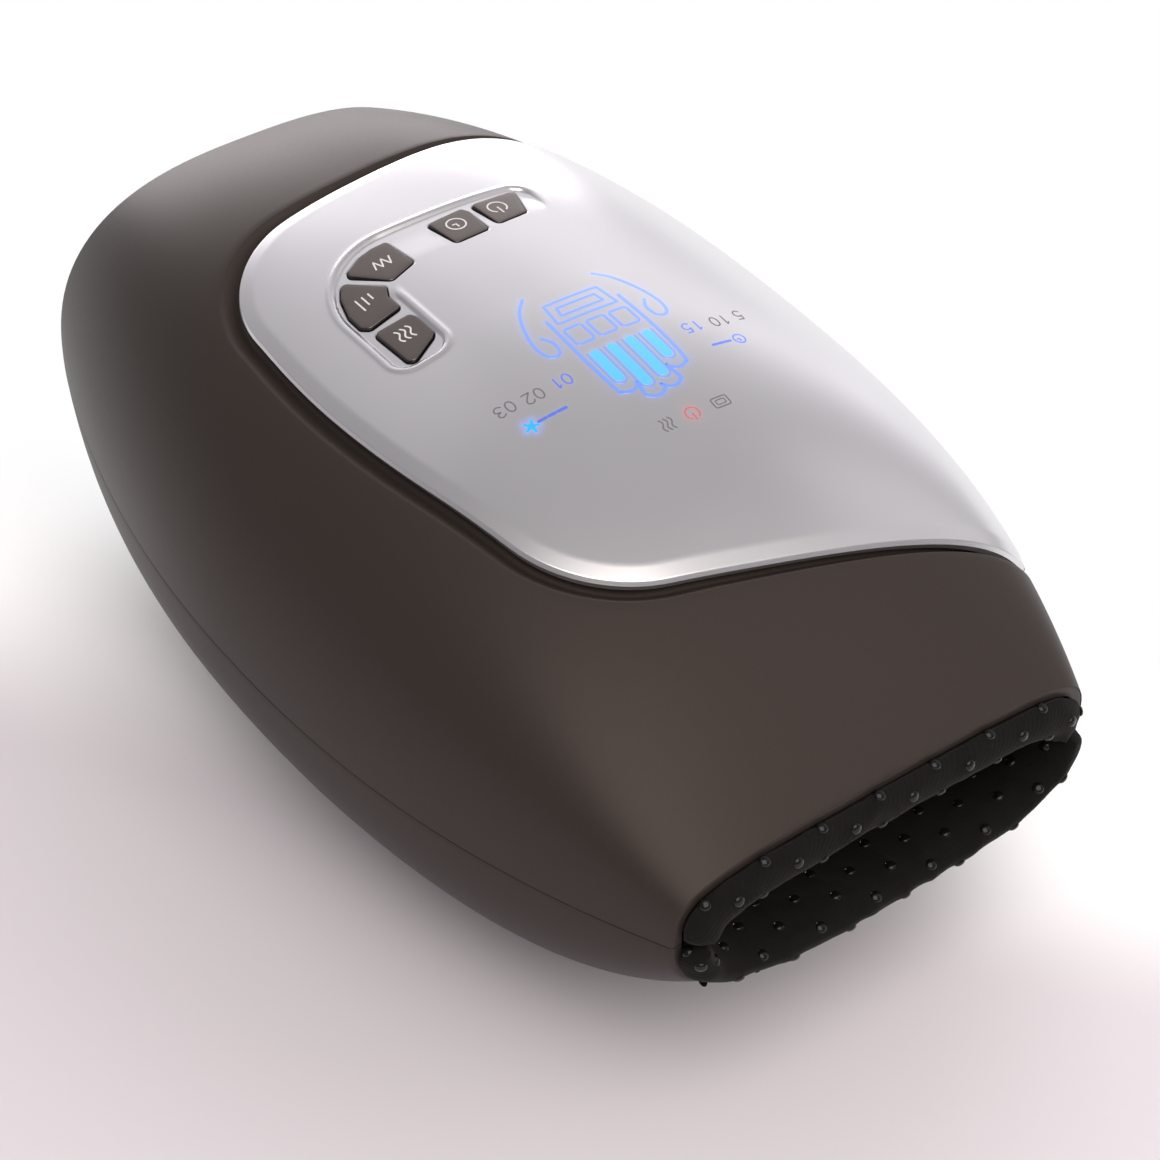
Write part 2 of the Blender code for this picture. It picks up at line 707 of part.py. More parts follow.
def shell_border():
    """The upper shell's border in skin lengths, with a point for each point of the panel's edge."""
    border = []
    for number in range(SIDE_SPOKES):
        y = -HALF_LENGTH + BODY_LENGTH * number / SIDE_SPOKES
        border.append(Vector((skin_reach(y), y)))
    front = skin_reach(HALF_LENGTH)
    for number in range(END_SPOKES):
        border.append(Vector((front - 2 * front * number / END_SPOKES, HALF_LENGTH)))
    for number in range(SIDE_SPOKES):
        y = HALF_LENGTH - BODY_LENGTH * number / SIDE_SPOKES
        border.append(Vector((-skin_reach(y), y)))
    rear = skin_reach(-HALF_LENGTH)
    for number in range(END_SPOKES):
        border.append(Vector((-rear + 2 * rear * number / END_SPOKES, -HALF_LENGTH)))
    return border


# Shells

def channel_share(place):
    """The share of the channel's full width at the panel's edge: it narrows towards the left."""
    across = (place.x + PANEL_LEFT) / (PANEL_LEFT + PANEL_RIGHT)
    return CHANNEL_NARROW_SHARE + (1 - CHANNEL_NARROW_SHARE) * max(0.0, across) ** EVEN_POWER


def channel_depth(offset):
    """How far the shell lies below the dome at a distance outside the panel's edge."""
    if offset <= CHANNEL_FLOOR:
        return LEDGE_DEPTH
    share = min(1.0, (offset - CHANNEL_FLOOR) / (CHANNEL_WIDTH - CHANNEL_FLOOR))
    return LEDGE_DEPTH * (1 - share * share * (3 - 2 * share))


def build_upper_shell():
    """The dome, with a sunken channel and a ledge round the opening for the panel."""
    outline = panel_outline()
    normals = outline_normals(outline)
    border = shell_border()
    offsets = [-LEDGE_WIDTH, CHANNEL_FLOOR]
    offsets += [CHANNEL_FLOOR + (CHANNEL_WIDTH - CHANNEL_FLOOR) * number / CHANNEL_RINGS
                for number in range(1, CHANNEL_RINGS + 1)]
    outer = []
    inner = []
    shares = [channel_share(point) for point in outline]

    def ring_at(offset, room=0.0):
        reach = [offset * share + room if offset > 0 else offset for share in shares]
        return [point + normal * step for point, normal, step in zip(outline, normals, reach)]

    for offset in offsets:
        depth = channel_depth(offset)
        outer.append([skin_point(place.x, place.y, -depth) for place in ring_at(offset)])
        if offset in (offsets[0], offsets[1], offsets[-1]):
            inner.append([skin_point(place.x, place.y, -depth - WALL) for place in ring_at(offset, WALL)])
    shoulder = ring_at(CHANNEL_WIDTH)
    for number in range(1, DOME_RINGS):
        share = number / DOME_RINGS
        ring = [start.lerp(end, share) for start, end in zip(shoulder, border)]
        outer.append([skin_point(place.x, place.y) for place in ring])
        if number % 2 == 0:
            inner.append([body_point(place.y, skin_turn(place.x, place.y), WALL) for place in ring])
    for distance, inset in reversed(EDGE_ROUND_SHARES):
        ring = []
        for start, end in zip(shoulder, border):
            share = 1 - distance * EDGE_ROUND / (end - start).length
            ring.append(start.lerp(end, share))
        outer.append([body_point(place.y, skin_turn(place.x, place.y), inset * EDGE_ROUND)
                      for place in ring])
    inner.append([body_point(place.y, skin_turn(place.x, place.y), WALL) for place in border])
    return loops_solid("upper_shell", outer + list(reversed(inner)), SHELL_PAINT)


def end_stations(count):
    """Places along Y, with close ones at both rims, and how far each is from its rim."""
    close = [distance * EDGE_ROUND for distance, _inset in EDGE_ROUND_SHARES]
    middle = HALF_LENGTH - EDGE_ROUND
    inside = [middle * math.sin(math.pi / 2 * number / count) for number in range(1 - count, count)]
    rear = [distance - HALF_LENGTH for distance in close]
    return rear + inside + [-y for y in reversed(rear)]


def edge_inset(distance):
    """How far a rounded edge is drawn in at a distance from it."""
    distances = [share[0] * EDGE_ROUND for share in EDGE_ROUND_SHARES]
    insets = [share[1] * EDGE_ROUND for share in EDGE_ROUND_SHARES]
    return float(np.interp(distance, distances, insets))


def build_lower_shell():
    """The belly, with pads for the feet, screw bosses and the charging slot."""
    outer = []
    inner = []
    for y in end_stations(SHELL_STATIONS // 2):
        half_width = body_section(y)[0]
        first = edge_turn(y)
        close = [distance * EDGE_ROUND / half_width for distance, _inset in EDGE_ROUND_SHARES]
        span = math.pi - 2 * first - 2 * close[-1]
        turns = [first + step for step in close]
        turns += [first + close[-1] + span * number / ROUND_TURNS for number in range(1, ROUND_TURNS)]
        turns += [math.pi - first - step for step in reversed(close)]
        rim = HALF_LENGTH - abs(y)
        row = []
        for turn in turns:
            side = (min(turn, math.pi - turn) - first) * half_width
            row.append(body_point(y, -turn, max(edge_inset(rim), edge_inset(side))))
        outer.append(row)
        inner.append([body_point(y, -turn, WALL) for turn in turns])
    shell = sheet_solid("lower_shell", outer, inner, SHELL_PAINT)
    unions = []
    cuts = []
    for index, (x, y) in enumerate(four_places(FOOT_X, FOOT_Y)):
        pad = rod(f"foot_pad_{index}", (x, y, PAD_BOTTOM), (x, y, PAD_BOTTOM + PAD_HEIGHT), PAD_RADIUS,
                  None, 16, CUTTERS)
        hole = rod(f"foot_hole_{index}", (x, y, PAD_BOTTOM - OVERRUN),
                   (x, y, PAD_BOTTOM + FOOT_PEG_LENGTH + CLEARANCE), FOOT_PEG_RADIUS + CLEARANCE,
                   None, SMALL_SIDES, CUTTERS)
        unions.append(pad)
        cuts.append(hole)
    for index, (x, y) in enumerate(four_places(SCREW_X, SCREW_Y)):
        low = dome_floor(x, y)
        boss = rod(f"screw_boss_{index}", (x, y, low + WALL / 2), (x, y, BOSS_TOP), BOSS_RADIUS,
                   None, SMALL_SIDES, CUTTERS)
        seat = rod(f"screw_seat_{index}", (x, y, low - OVERRUN), (x, y, SCREW_SEAT + CLEARANCE),
                   SCREW_HEAD_RADIUS + CLEARANCE, None, SMALL_SIDES, CUTTERS)
        hole = rod(f"screw_hole_{index}", (x, y, low - OVERRUN), (x, y, BOSS_TOP + OVERRUN),
                   SCREW_RADIUS + CLEARANCE, None, SMALL_SIDES, CUTTERS)
        unions.append(boss)
        cuts += [seat, hole]
    base = SHELF_SEAT + BOARD_THICKNESS + CLEARANCE
    slot = box("charge_slot",
               (-HALF_WIDTH, CHARGE_Y - SOCKET_WIDTH / 2 - CLEARANCE, base - CLEARANCE),
               (-SOCKET_FRONT + 2 * WALL, CHARGE_Y + SOCKET_WIDTH / 2 + CLEARANCE,
                base + SOCKET_HEIGHT + CLEARANCE), None, CUTTERS)
    combine(shell, unions, "UNION")
    combine(shell, cuts + [slot])
    return shell


def dome_floor(x, y):
    """The height of the belly's outside over a point of the plan."""
    half_width, _top, parting, bottom, _roof, power = body_section(y)
    return parting - (parting - bottom) * (1 - (abs(x) / half_width) ** power) ** (1 / power)


def four_places(x, y):
    """The four corners of a rectangle round the middle."""
    return [(-x, -y), (x, -y), (-x, y), (x, y)]


# Control panel and its buttons

def strip_route():
    """Stations along the middle of the button strip: place, sideways direction and share of width."""
    straight = STRIP_RIGHT - STRIP_BEND_RADIUS + STRIP_LEFT
    bend = STRIP_BEND_RADIUS * math.pi / 2
    rise = STRIP_REAR - STRIP_BEND_RADIUS - STRIP_FRONT
    total = straight + bend + rise
    stations = []
    for number in range(STRIP_STATIONS + 1):
        travel = total * (1 - math.cos(math.pi * number / STRIP_STATIONS)) / 2
        centre = Vector((STRIP_RIGHT - STRIP_BEND_RADIUS, STRIP_BEND_RADIUS - STRIP_REAR))
        if travel < straight:
            place = Vector((travel - STRIP_LEFT, -STRIP_REAR))
            side = Vector((0, -1))
        elif travel < straight + bend:
            angle = (travel - straight) / STRIP_BEND_RADIUS
            side = Vector((math.sin(angle), -math.cos(angle)))
            place = centre + side * STRIP_BEND_RADIUS
        else:
            side = Vector((1, 0))
            place = centre + Vector((STRIP_BEND_RADIUS, travel - straight - bend))
        closeness = min(travel, total - travel) / STRIP_HALF_WIDTH
        blunt = 1 - max(0.0, 1 - closeness) ** STRIP_END_POWER
        stations.append((place, side, blunt ** (1 / STRIP_END_POWER)))
    return stations


def strip_grid(half_width, lift):
    """A grid of points on the dome across the button strip."""
    rows = []
    stations = strip_route()
    ends = (stations[1][2], stations[-2][2])
    for index, (place, side, share) in enumerate(stations):
        if index == 0:
            share = ends[0] / 2
        elif index == len(stations) - 1:
            share = ends[1] / 2
        row = []
        for lane in range(STRIP_LANES + 1):
            shift = (2 * lane / STRIP_LANES - 1) * half_width * share
            spot = place + side * shift
            row.append(skin_point(spot.x, spot.y) + Vector((0, 0, lift)))
        rows.append(row)
    return rows


def button_outline(name, outset=0.0):
    """A button's outline in plan and its centre, grown by an outset."""
    (centre_x, centre_y), corners = BUTTONS_SHARES[name]
    centre = Vector((centre_x, centre_y)) * BUTTON_SIZE
    order = [(centre.x + x * BUTTON_SIZE, centre.y + y * BUTTON_SIZE) for x, y in corners]
    area = sum(a[0] * b[1] - b[0] * a[1] for a, b in zip(order, order[1:] + order[:1]))
    if area < 0:
        order.reverse()
    points, _middles = rounded_outline([(x, y, BUTTON_CORNER) for x, y in order], BUTTON_STEPS)
    normals = outline_normals(points)
    return [point + normal * outset for point, normal in zip(points, normals)], centre


def button_loop(name, outset, lift):
    """A button's outline on the dome, lifted straight up."""
    points, _centre = button_outline(name, outset)
    return [Vector((point.x, point.y, dome_height(point.x, point.y) + lift)) for point in points]


def build_button(name):
    """A cap that slides down through the panel, with a flange under it and a stem to its switch."""
    face = PANEL_LIFT + BUTTON_LIFT
    under = PANEL_LIFT - PANEL_THICKNESS - 2 * CLEARANCE
    low = under - BUTTON_FLANGE_THICKNESS
    levels = ((BUTTON_FLANGE, low), (BUTTON_FLANGE, under), (0, under), (0, face - BUTTON_BEVEL),
              (-BUTTON_BEVEL, face))
    loops = [button_loop(name, outset, lift) for outset, lift in levels]
    _points, centre = button_outline(name)
    height = dome_height(centre.x, centre.y)
    hubs = [Vector((centre.x, centre.y, height + low)), Vector((centre.x, centre.y, height + face))]
    button = loops_solid(f"{name}_button", loops, BUTTON_PAINT, hubs)
    stem = rod(f"{name}_stem", (centre.x, centre.y, SWITCH_TOP + BUTTON_TRAVEL + CLEARANCE),
               (centre.x, centre.y, height + low + BUTTON_FLANGE_THICKNESS / 2), BUTTON_STEM_RADIUS,
               None, SMALL_SIDES, CUTTERS)
    combine(button, [stem], "UNION")
    set_origin(button, (centre.x, centre.y, height))
    return button


def build_panel():
    """The cover with its chamfered edge, sunken button strip and button holes."""
    outline = panel_outline()
    normals = outline_normals(outline)
    middle = sum(outline, Vector((0, 0))) / len(outline)
    rim = -LEDGE_DEPTH + CLEARANCE
    edge = PANEL_LIFT - PANEL_CHAMFER_DROP
    under = PANEL_LIFT - PANEL_THICKNESS

    def ring(inset, lift):
        places = [point - normal * inset for point, normal in zip(outline, normals)]
        return [skin_point(place.x, place.y, lift) for place in places]

    def shrunk(inset, share, lift):
        places = [point - normal * inset for point, normal in zip(outline, normals)]
        return [skin_point(*place.lerp(middle, share), lift) for place in places]

    loops = [shrunk(PANEL_RIM_WIDTH, share, under) for share in PANEL_UNDERSIDE_SHARES]
    loops.append(ring(PANEL_RIM_WIDTH + CLEARANCE, under))
    loops.append(ring(PANEL_RIM_WIDTH, rim))
    loops.append(ring(0, rim))
    loops.append(ring(0, edge - PANEL_EDGE_ROUND))
    loops.append(ring(PANEL_EDGE_ROUND, edge))
    loops.append(ring(PANEL_CHAMFER - PANEL_EDGE_ROUND, PANEL_LIFT - PANEL_EDGE_ROUND / 4))
    loops.append(ring(PANEL_CHAMFER + PANEL_EDGE_ROUND, PANEL_LIFT))
    for number in range(1, PANEL_RINGS):
        loops.append(shrunk(PANEL_CHAMFER, number / PANEL_RINGS, PANEL_LIFT))
    hubs = [skin_point(middle.x, middle.y, under), skin_point(middle.x, middle.y, PANEL_LIFT)]
    panel = loops_solid("control_panel", loops, PANEL_PAINT, hubs)
    floor = strip_grid(STRIP_HALF_WIDTH - STRIP_SLOPE, PANEL_LIFT - STRIP_DEPTH)
    mouth = strip_grid(STRIP_HALF_WIDTH + STRIP_SLOPE, PANEL_LIFT + STRIP_DEPTH)
    cutters = [sheet_solid("strip_cut", mouth, floor, None, CUTTERS)]
    for name in BUTTONS_SHARES:
        _points, centre = button_outline(name)
        height = dome_height(centre.x, centre.y)
        lifts = (under - OVERRUN, PANEL_LIFT + OVERRUN)
        loops = [button_loop(name, CLEARANCE, lift) for lift in lifts]
        hubs = [Vector((centre.x, centre.y, height + lift)) for lift in lifts]
        cutters.append(loops_solid(f"{name}_hole", loops, None, hubs, CUTTERS))
    combine(panel, cutters)
    return panel


# Control board and what it carries

def build_board():
    """The printed board on the roof frame's posts."""
    return box("control_board", (-BOARD_LEFT, -BOARD_REAR, BOARD_TOP - BOARD_THICKNESS),
               (BOARD_RIGHT, BOARD_FRONT, BOARD_TOP), BOARD_GREEN)


def build_switch(name):
    """A tactile switch under a button's stem."""
    _points, centre = button_outline(name)
    base = BOARD_TOP + CLEARANCE
    half = SWITCH_SIZE / 2
    body = box(f"{name}_switch", (centre.x - half, centre.y - half, base),
               (centre.x + half, centre.y + half, base + SWITCH_HEIGHT), STEEL)
    knob = rod(f"{name}_switch_knob", (centre.x, centre.y, base + SWITCH_HEIGHT / 2),
               (centre.x, centre.y, SWITCH_TOP), SWITCH_BUTTON_RADIUS, None, SMALL_SIDES, CUTTERS)
    combine(body, [knob], "UNION")
    return body


def build_board_fittings():
    """The light guide behind the lit signs, and the buzzer."""
    base = BOARD_TOP + CLEARANCE
    box("display_light_guide",
        (LIGHT_GUIDE_X - LIGHT_GUIDE_WIDTH / 2, LIGHT_GUIDE_Y - LIGHT_GUIDE_LENGTH / 2, base),
        (LIGHT_GUIDE_X + LIGHT_GUIDE_WIDTH / 2, LIGHT_GUIDE_Y + LIGHT_GUIDE_LENGTH / 2,
         base + LIGHT_GUIDE_HEIGHT), DIFFUSER)
    rod("buzzer", (BUZZER_X, BUZZER_Y, base), (BUZZER_X, BUZZER_Y, base + BUZZER_HEIGHT),
        BUZZER_RADIUS, RUBBER)


# Sleeve, bags, heater and frames

def grid_turn(y, column, side):
    """The turn of a column of the grid that the heater, the bags and the frames share."""
    half_width, top, parting, bottom, _roof, _floor = tunnel_section(y)
    rise = top - parting if side > 0 else parting - bottom
    angle = math.pi * column / ROUND_TURNS
    return math.atan2(rise * math.sin(angle), half_width * math.cos(angle))


def tunnel_band(name, near, far, bays, margin_share, side, material):
    """A curved sheet round the tunnel between two outsets, over a number of bays."""
    margin = round(margin_share * ROUND_TURNS)
    outer = []
    inner = []
    for row in range(bays + 1):
        y = BAY_LENGTH * (row - bays / 2)
        outer_row = []
        inner_row = []
        for column in range(margin, ROUND_TURNS + 1 - margin):
            turn = side * min(max(grid_turn(y, column, side), edge_turn(0)), math.pi - edge_turn(0))
            outer_row.append(tunnel_point(y, turn, far))
            inner_row.append(tunnel_point(y, turn, near))
        outer.append(outer_row)
        inner.append(inner_row)
    return sheet_solid(name, outer, inner, material)


def sleeve_profile(nose, thickness):
    """Stations of a padded sleeve: distance inside the rim, outer inset and inner inset."""
    lip = [(-along * nose, outer * thickness, inner * thickness)
           for along, outer, inner in SLEEVE_NOSE_SHARES]
    taper = [(ROLL_LENGTH + along * ROLL_TAPER, 0, thick * thickness + (1 - thick) * SLEEVE_PAD)
             for along, thick in SLEEVE_TAPER_SHARES]
    return lip + taper


def build_sleeve(name, side, nose, thickness):
    """Half of the padded sleeve, with a rolled lip at each mouth."""
    profile = sleeve_profile(nose, thickness)
    stations = [(distance - HALF_LENGTH, outer, inner) for distance, outer, inner in profile]
    for row in range(1, FRAME_BAYS):
        stations.append((BAY_LENGTH * (row - FRAME_BAYS / 2), 0, SLEEVE_PAD))
    stations += [(HALF_LENGTH - distance, outer, inner) for distance, outer, inner in reversed(profile)]
    outer_rows = []
    inner_rows = []
    for y, outer, inner in stations:
        first = CLEARANCE / 2 / (tunnel_section(y)[0] - inner)
        outer_row = []
        inner_row = []
        for column in range(ROUND_TURNS + 1):
            turn = min(max(math.pi * column / ROUND_TURNS, first), math.pi - first)
            outer_row.append(tunnel_point(y, side * turn, -outer))
            inner_row.append(tunnel_point(y, side * turn, -inner))
        outer_rows.append(outer_row)
        inner_rows.append(inner_row)
    return sheet_solid(name, outer_rows, inner_rows, FABRIC)


def upper_nipple_top():
    """The height of the upper air bag's nipple."""
    return roof_height(UPPER_NIPPLE_X, UPPER_NIPPLE_Y, FRAME_OUTSET) + NIPPLE_REACH


def roof_height(x, y, outset):
    """The height of a sheet over the tunnel at a point of the plan."""
    half_width, top, parting, _bottom, power, _floor = tunnel_section(y)
    share = abs(x) / (half_width + outset)
    return parting + (top - parting + outset) * (1 - share ** power) ** (1 / power)


def lower_nipple_place():
    """The height of the lower air bag's nipple, and where its end is."""
    half_width, _top, parting, bottom, _roof, power = tunnel_section(LOWER_NIPPLE_Y)
    height = parting - LOWER_NIPPLE_RISE
    share = LOWER_NIPPLE_RISE / (parting - bottom + FRAME_OUTSET)
    wall = (half_width + FRAME_OUTSET) * (1 - share ** power) ** (1 / power)
    return Vector((wall + NIPPLE_REACH, LOWER_NIPPLE_Y, height))


def build_bags():
    """The two air bags, with their nipples, and the heater under the upper one."""
    near = 2 * LAYER_GAP + HEATER_THICKNESS
    tunnel_band("heater_pad", LAYER_GAP, LAYER_GAP + HEATER_THICKNESS, HEATER_BAYS, HEATER_MARGIN_SHARE,
                1, HEATER_FILM)
    upper = tunnel_band("upper_air_bag", near, BAG_SPACE - LAYER_GAP, BAG_BAYS, UPPER_BAG_MARGIN_SHARE,
                        1, BAG_FILM)
    top = upper_nipple_top()
    nipple = rod("upper_nipple", (UPPER_NIPPLE_X, UPPER_NIPPLE_Y, top - nipple_length()),
                 (UPPER_NIPPLE_X, UPPER_NIPPLE_Y, top), NIPPLE_RADIUS, None, SMALL_SIDES, CUTTERS)
    combine(upper, [nipple], "UNION")
    lower = tunnel_band("lower_air_bag", LAYER_GAP, BAG_SPACE - LAYER_GAP, BAG_BAYS, LOWER_BAG_MARGIN_SHARE,
                        -1, BAG_FILM)
    end = lower_nipple_place()
    stub = rod("lower_nipple", end - Vector((nipple_length(), 0, 0)), end, NIPPLE_RADIUS,
               None, SMALL_SIDES, CUTTERS)
    combine(lower, [stub], "UNION")


def nipple_length():
    """From inside an air bag through the frame to the nipple's end."""
    return NIPPLE_REACH + FRAME_THICKNESS + BAG_SPACE / 3


def build_roof_frame():
    """The arch over the upper air bag, with posts for the control board."""
    frame = tunnel_band("roof_frame", BAG_SPACE, FRAME_OUTSET, FRAME_BAYS, 0, 1, FRAME_PLASTIC)
    posts = []
    under = BOARD_TOP - BOARD_THICKNESS - CLEARANCE
    for index, x in enumerate((-BOARD_POST_X, BOARD_POST_X)):
        for side, y in (("rear", -BOARD_POST_REAR), ("front", BOARD_POST_FRONT)):
            base = roof_height(x, y, FRAME_OUTSET) - FRAME_THICKNESS
            posts.append(rod(f"board_post_{side}_{index}", (x, y, base), (x, y, under), POST_RADIUS,
                             None, SMALL_SIDES, CUTTERS))
    hole = rod("upper_nipple_hole",
               (UPPER_NIPPLE_X, UPPER_NIPPLE_Y, upper_nipple_top() - nipple_length()),
               (UPPER_NIPPLE_X, UPPER_NIPPLE_Y, upper_nipple_top() + OVERRUN),
               NIPPLE_RADIUS + CLEARANCE, None, SMALL_SIDES, CUTTERS)
    combine(frame, posts, "UNION")
    combine(frame, [hole])


def build_floor_frame():
    """The trough under the lower air bag, with shelves at both sides and screw posts."""
    frame = tunnel_band("floor_frame", BAG_SPACE, FRAME_OUTSET, FRAME_BAYS, 0, -1, FRAME_PLASTIC)
    top = SHELF_TOP + FOOT_LIFT
    shelves = [
        box("left_shelf", (-SHELF_OUTER, -SHELF_REAR, top - SHELF_THICKNESS),
            (-SHELF_INNER, SHELF_FRONT, top), None, CUTTERS),
        box("right_shelf", (SHELF_INNER, -SHELF_FRONT, top - SHELF_THICKNESS),
            (SHELF_OUTER, SHELF_FRONT, top), None, CUTTERS),
    ]
    posts = []
    holes = []
    for index, (x, y) in enumerate(four_places(SCREW_X, SCREW_Y)):
        half_width, _top, parting, bottom, _roof, power = tunnel_section(y)
        share = abs(x) / (half_width + FRAME_OUTSET)
        low = parting - (parting - bottom + FRAME_OUTSET) * (1 - share ** power) ** (1 / power)
        posts.append(rod(f"screw_post_{index}", (x, y, BOSS_TOP + CLEARANCE),
                         (x, y, low + FRAME_THICKNESS * POST_SINK_SHARE), BOSS_RADIUS,
                         None, SMALL_SIDES, CUTTERS))
        holes.append(rod(f"pilot_{index}", (x, y, BOSS_TOP - OVERRUN),
                         (x, y, SCREW_SEAT + SCREW_LENGTH + CLEARANCE), SCREW_RADIUS + CLEARANCE,
                         None, SMALL_SIDES, CUTTERS))
    stub = lower_nipple_place()
    holes.append(rod("lower_nipple_hole", stub - Vector((nipple_length(), 0, 0)),
                     stub + Vector((OVERRUN, 0, 0)), NIPPLE_RADIUS + CLEARANCE, None, SMALL_SIDES, CUTTERS))
    combine(frame, shelves + posts, "UNION")
    combine(frame, holes)


# Power and air

def build_batteries():
    """Two round cells, one over the other, in a holder on the left shelf."""
    low = SHELF_SEAT
    first = low + HOLDER_WALL + CLEARANCE + CELL_RADIUS
    reach = CELL_LENGTH / 2 + CELL_CAP_HEIGHT + CLEARANCE
    top = first + CELL_PITCH
    holder = box("battery_holder", (-HOLDER_OUTER, -reach - HOLDER_WALL, low),
                 (-HOLDER_INNER, reach + HOLDER_WALL, top), FRAME_PLASTIC)
    hollows = []
    for index, height in enumerate((first, top)):
        hollows.append(rod(f"cell_hollow_{index}", (-CELL_X, -reach, height), (-CELL_X, reach, height),
                           CELL_RADIUS + CLEARANCE, None, collection=CUTTERS))
        cell = rod(f"battery_cell_{index + 1}", (-CELL_X, -CELL_LENGTH / 2, height),
                   (-CELL_X, CELL_LENGTH / 2, height), CELL_RADIUS, CELL_WRAP)
        cap = rod(f"cell_cap_{index}", (-CELL_X, 0, height),
                  (-CELL_X, CELL_LENGTH / 2 + CELL_CAP_HEIGHT, height), CELL_CAP_RADIUS,
                  None, SMALL_SIDES, CUTTERS)
        combine(cell, [cap], "UNION")
    combine(holder, hollows)


def build_pump():
    """The pump: motor, its cradle, the head with its chamber, and the turning crank."""
    motor_front = MOTOR_LENGTH - MOTOR_REAR
    motor = rod("pump_motor", (PUMP_X, -MOTOR_REAR, MOTOR_Z), (PUMP_X, motor_front, MOTOR_Z),
                MOTOR_RADIUS, STEEL)
    bore = rod("motor_bore", (PUMP_X, motor_front - SHAFT_LENGTH / 2 - CLEARANCE, MOTOR_Z),
               (PUMP_X, motor_front + OVERRUN, MOTOR_Z), SHAFT_RADIUS + CLEARANCE, None, SMALL_SIDES,
               CUTTERS)
    combine(motor, [bore])
    cradle_middle = -MOTOR_REAR + MOTOR_LENGTH / 2
    cradle = box("pump_cradle", (PUMP_X - MOTOR_RADIUS, cradle_middle - CRADLE_WIDTH / 2, SHELF_SEAT),
                 (SHELF_OUTER, cradle_middle + CRADLE_WIDTH / 2, MOTOR_Z - MOTOR_RADIUS / 3), RUBBER)
    seat = rod("cradle_cut", (PUMP_X, cradle_middle - CRADLE_WIDTH, MOTOR_Z),
               (PUMP_X, cradle_middle + CRADLE_WIDTH, MOTOR_Z), MOTOR_RADIUS + CLEARANCE,
               None, collection=CUTTERS)
    combine(cradle, [seat])
    head_rear = motor_front + CLEARANCE
    half = PUMP_HEAD_WIDTH / 2
    head = box("pump_head", (PUMP_X - half, head_rear, MOTOR_Z - PUMP_HEAD_HEIGHT / 2),
               (PUMP_X + half, head_rear + PUMP_HEAD_LENGTH, MOTOR_Z + PUMP_HEAD_HEIGHT / 2), RUBBER)
    chamber = rod("pump_chamber", (PUMP_X, head_rear - OVERRUN, MOTOR_Z),
                  (PUMP_X, head_rear + PUMP_CHAMBER_DEPTH, MOTOR_Z), PUMP_CHAMBER_RADIUS,
                  None, collection=CUTTERS)
    port = rod("pump_port", (PUMP_X, head_rear + PUMP_HEAD_LENGTH - PORT_LENGTH, MOTOR_Z + PORT_INSET),
               (PUMP_X, head_rear + PUMP_HEAD_LENGTH + PORT_LENGTH, MOTOR_Z + PORT_INSET),
               PORT_RADIUS, None, SMALL_SIDES, CUTTERS)
    combine(head, [chamber])
    combine(head, [port], "UNION")
    shaft_rear = motor_front - SHAFT_LENGTH / 2
    crank = rod("pump_crank", (PUMP_X, shaft_rear, MOTOR_Z),
                (PUMP_X, shaft_rear + SHAFT_LENGTH, MOTOR_Z), SHAFT_RADIUS, STEEL, SMALL_SIDES)
    disc = rod("crank_disc", (PUMP_X, head_rear + CLEARANCE, MOTOR_Z + ECCENTRIC_OFFSET),
               (PUMP_X, head_rear + CLEARANCE + ECCENTRIC_LENGTH, MOTOR_Z + ECCENTRIC_OFFSET),
               ECCENTRIC_RADIUS, None, SMALL_SIDES, CUTTERS)
    combine(crank, [disc], "UNION")
    set_origin(crank, (PUMP_X, shaft_rear, MOTOR_Z))


def build_valves():
    """The manifold with two release valves, each with a sliding plunger."""
    half = MANIFOLD_WIDTH / 2
    top = SHELF_SEAT + MANIFOLD_HEIGHT
    manifold = box("valve_manifold", (MANIFOLD_X - half, MANIFOLD_REAR, SHELF_SEAT),
                   (MANIFOLD_X + half, MANIFOLD_REAR + MANIFOLD_LENGTH, top), FRAME_PLASTIC)
    ports = [
        rod("manifold_inlet", (MANIFOLD_X, MANIFOLD_REAR - PORT_LENGTH, SHELF_SEAT + PORT_INSET),
            (MANIFOLD_X, MANIFOLD_REAR + PORT_LENGTH, SHELF_SEAT + PORT_INSET), PORT_RADIUS,
            None, SMALL_SIDES, CUTTERS),
        rod("manifold_outlet",
            (MANIFOLD_X, MANIFOLD_REAR + MANIFOLD_LENGTH - PORT_LENGTH, SHELF_SEAT + PORT_INSET),
            (MANIFOLD_X, MANIFOLD_REAR + MANIFOLD_LENGTH + PORT_LENGTH, SHELF_SEAT + PORT_INSET),
            PORT_RADIUS, None, SMALL_SIDES, CUTTERS),
    ]
    combine(manifold, ports, "UNION")
    for index, name in enumerate(("upper", "lower")):
        y = MANIFOLD_REAR + MANIFOLD_LENGTH * (3 - 2 * index) / 4
        base = top + CLEARANCE
        low = (MANIFOLD_X - VALVE_SIZE / 2, y - VALVE_SIZE / 2, base)
        high = (MANIFOLD_X + VALVE_SIZE / 2, y + VALVE_SIZE / 2, base + VALVE_HEIGHT)
        valve = box(f"{name}_valve", low, high, STEEL)
        foot = base + VALVE_HEIGHT - PLUNGER_LENGTH + PLUNGER_SHOWN
        x = MANIFOLD_X + VALVE_SIZE / 4
        bore = rod(f"{name}_valve_bore", (x, y, foot - PLUNGER_TRAVEL - CLEARANCE),
                   (x, y, base + VALVE_HEIGHT + OVERRUN), PLUNGER_RADIUS + CLEARANCE,
                   None, SMALL_SIDES, CUTTERS)
        combine(valve, [bore])
        plunger = rod(f"{name}_valve_plunger", (x, y, foot), (x, y, foot + PLUNGER_LENGTH),
                      PLUNGER_RADIUS, STEEL, SMALL_SIDES)
        set_origin(plunger, (x, y, foot))


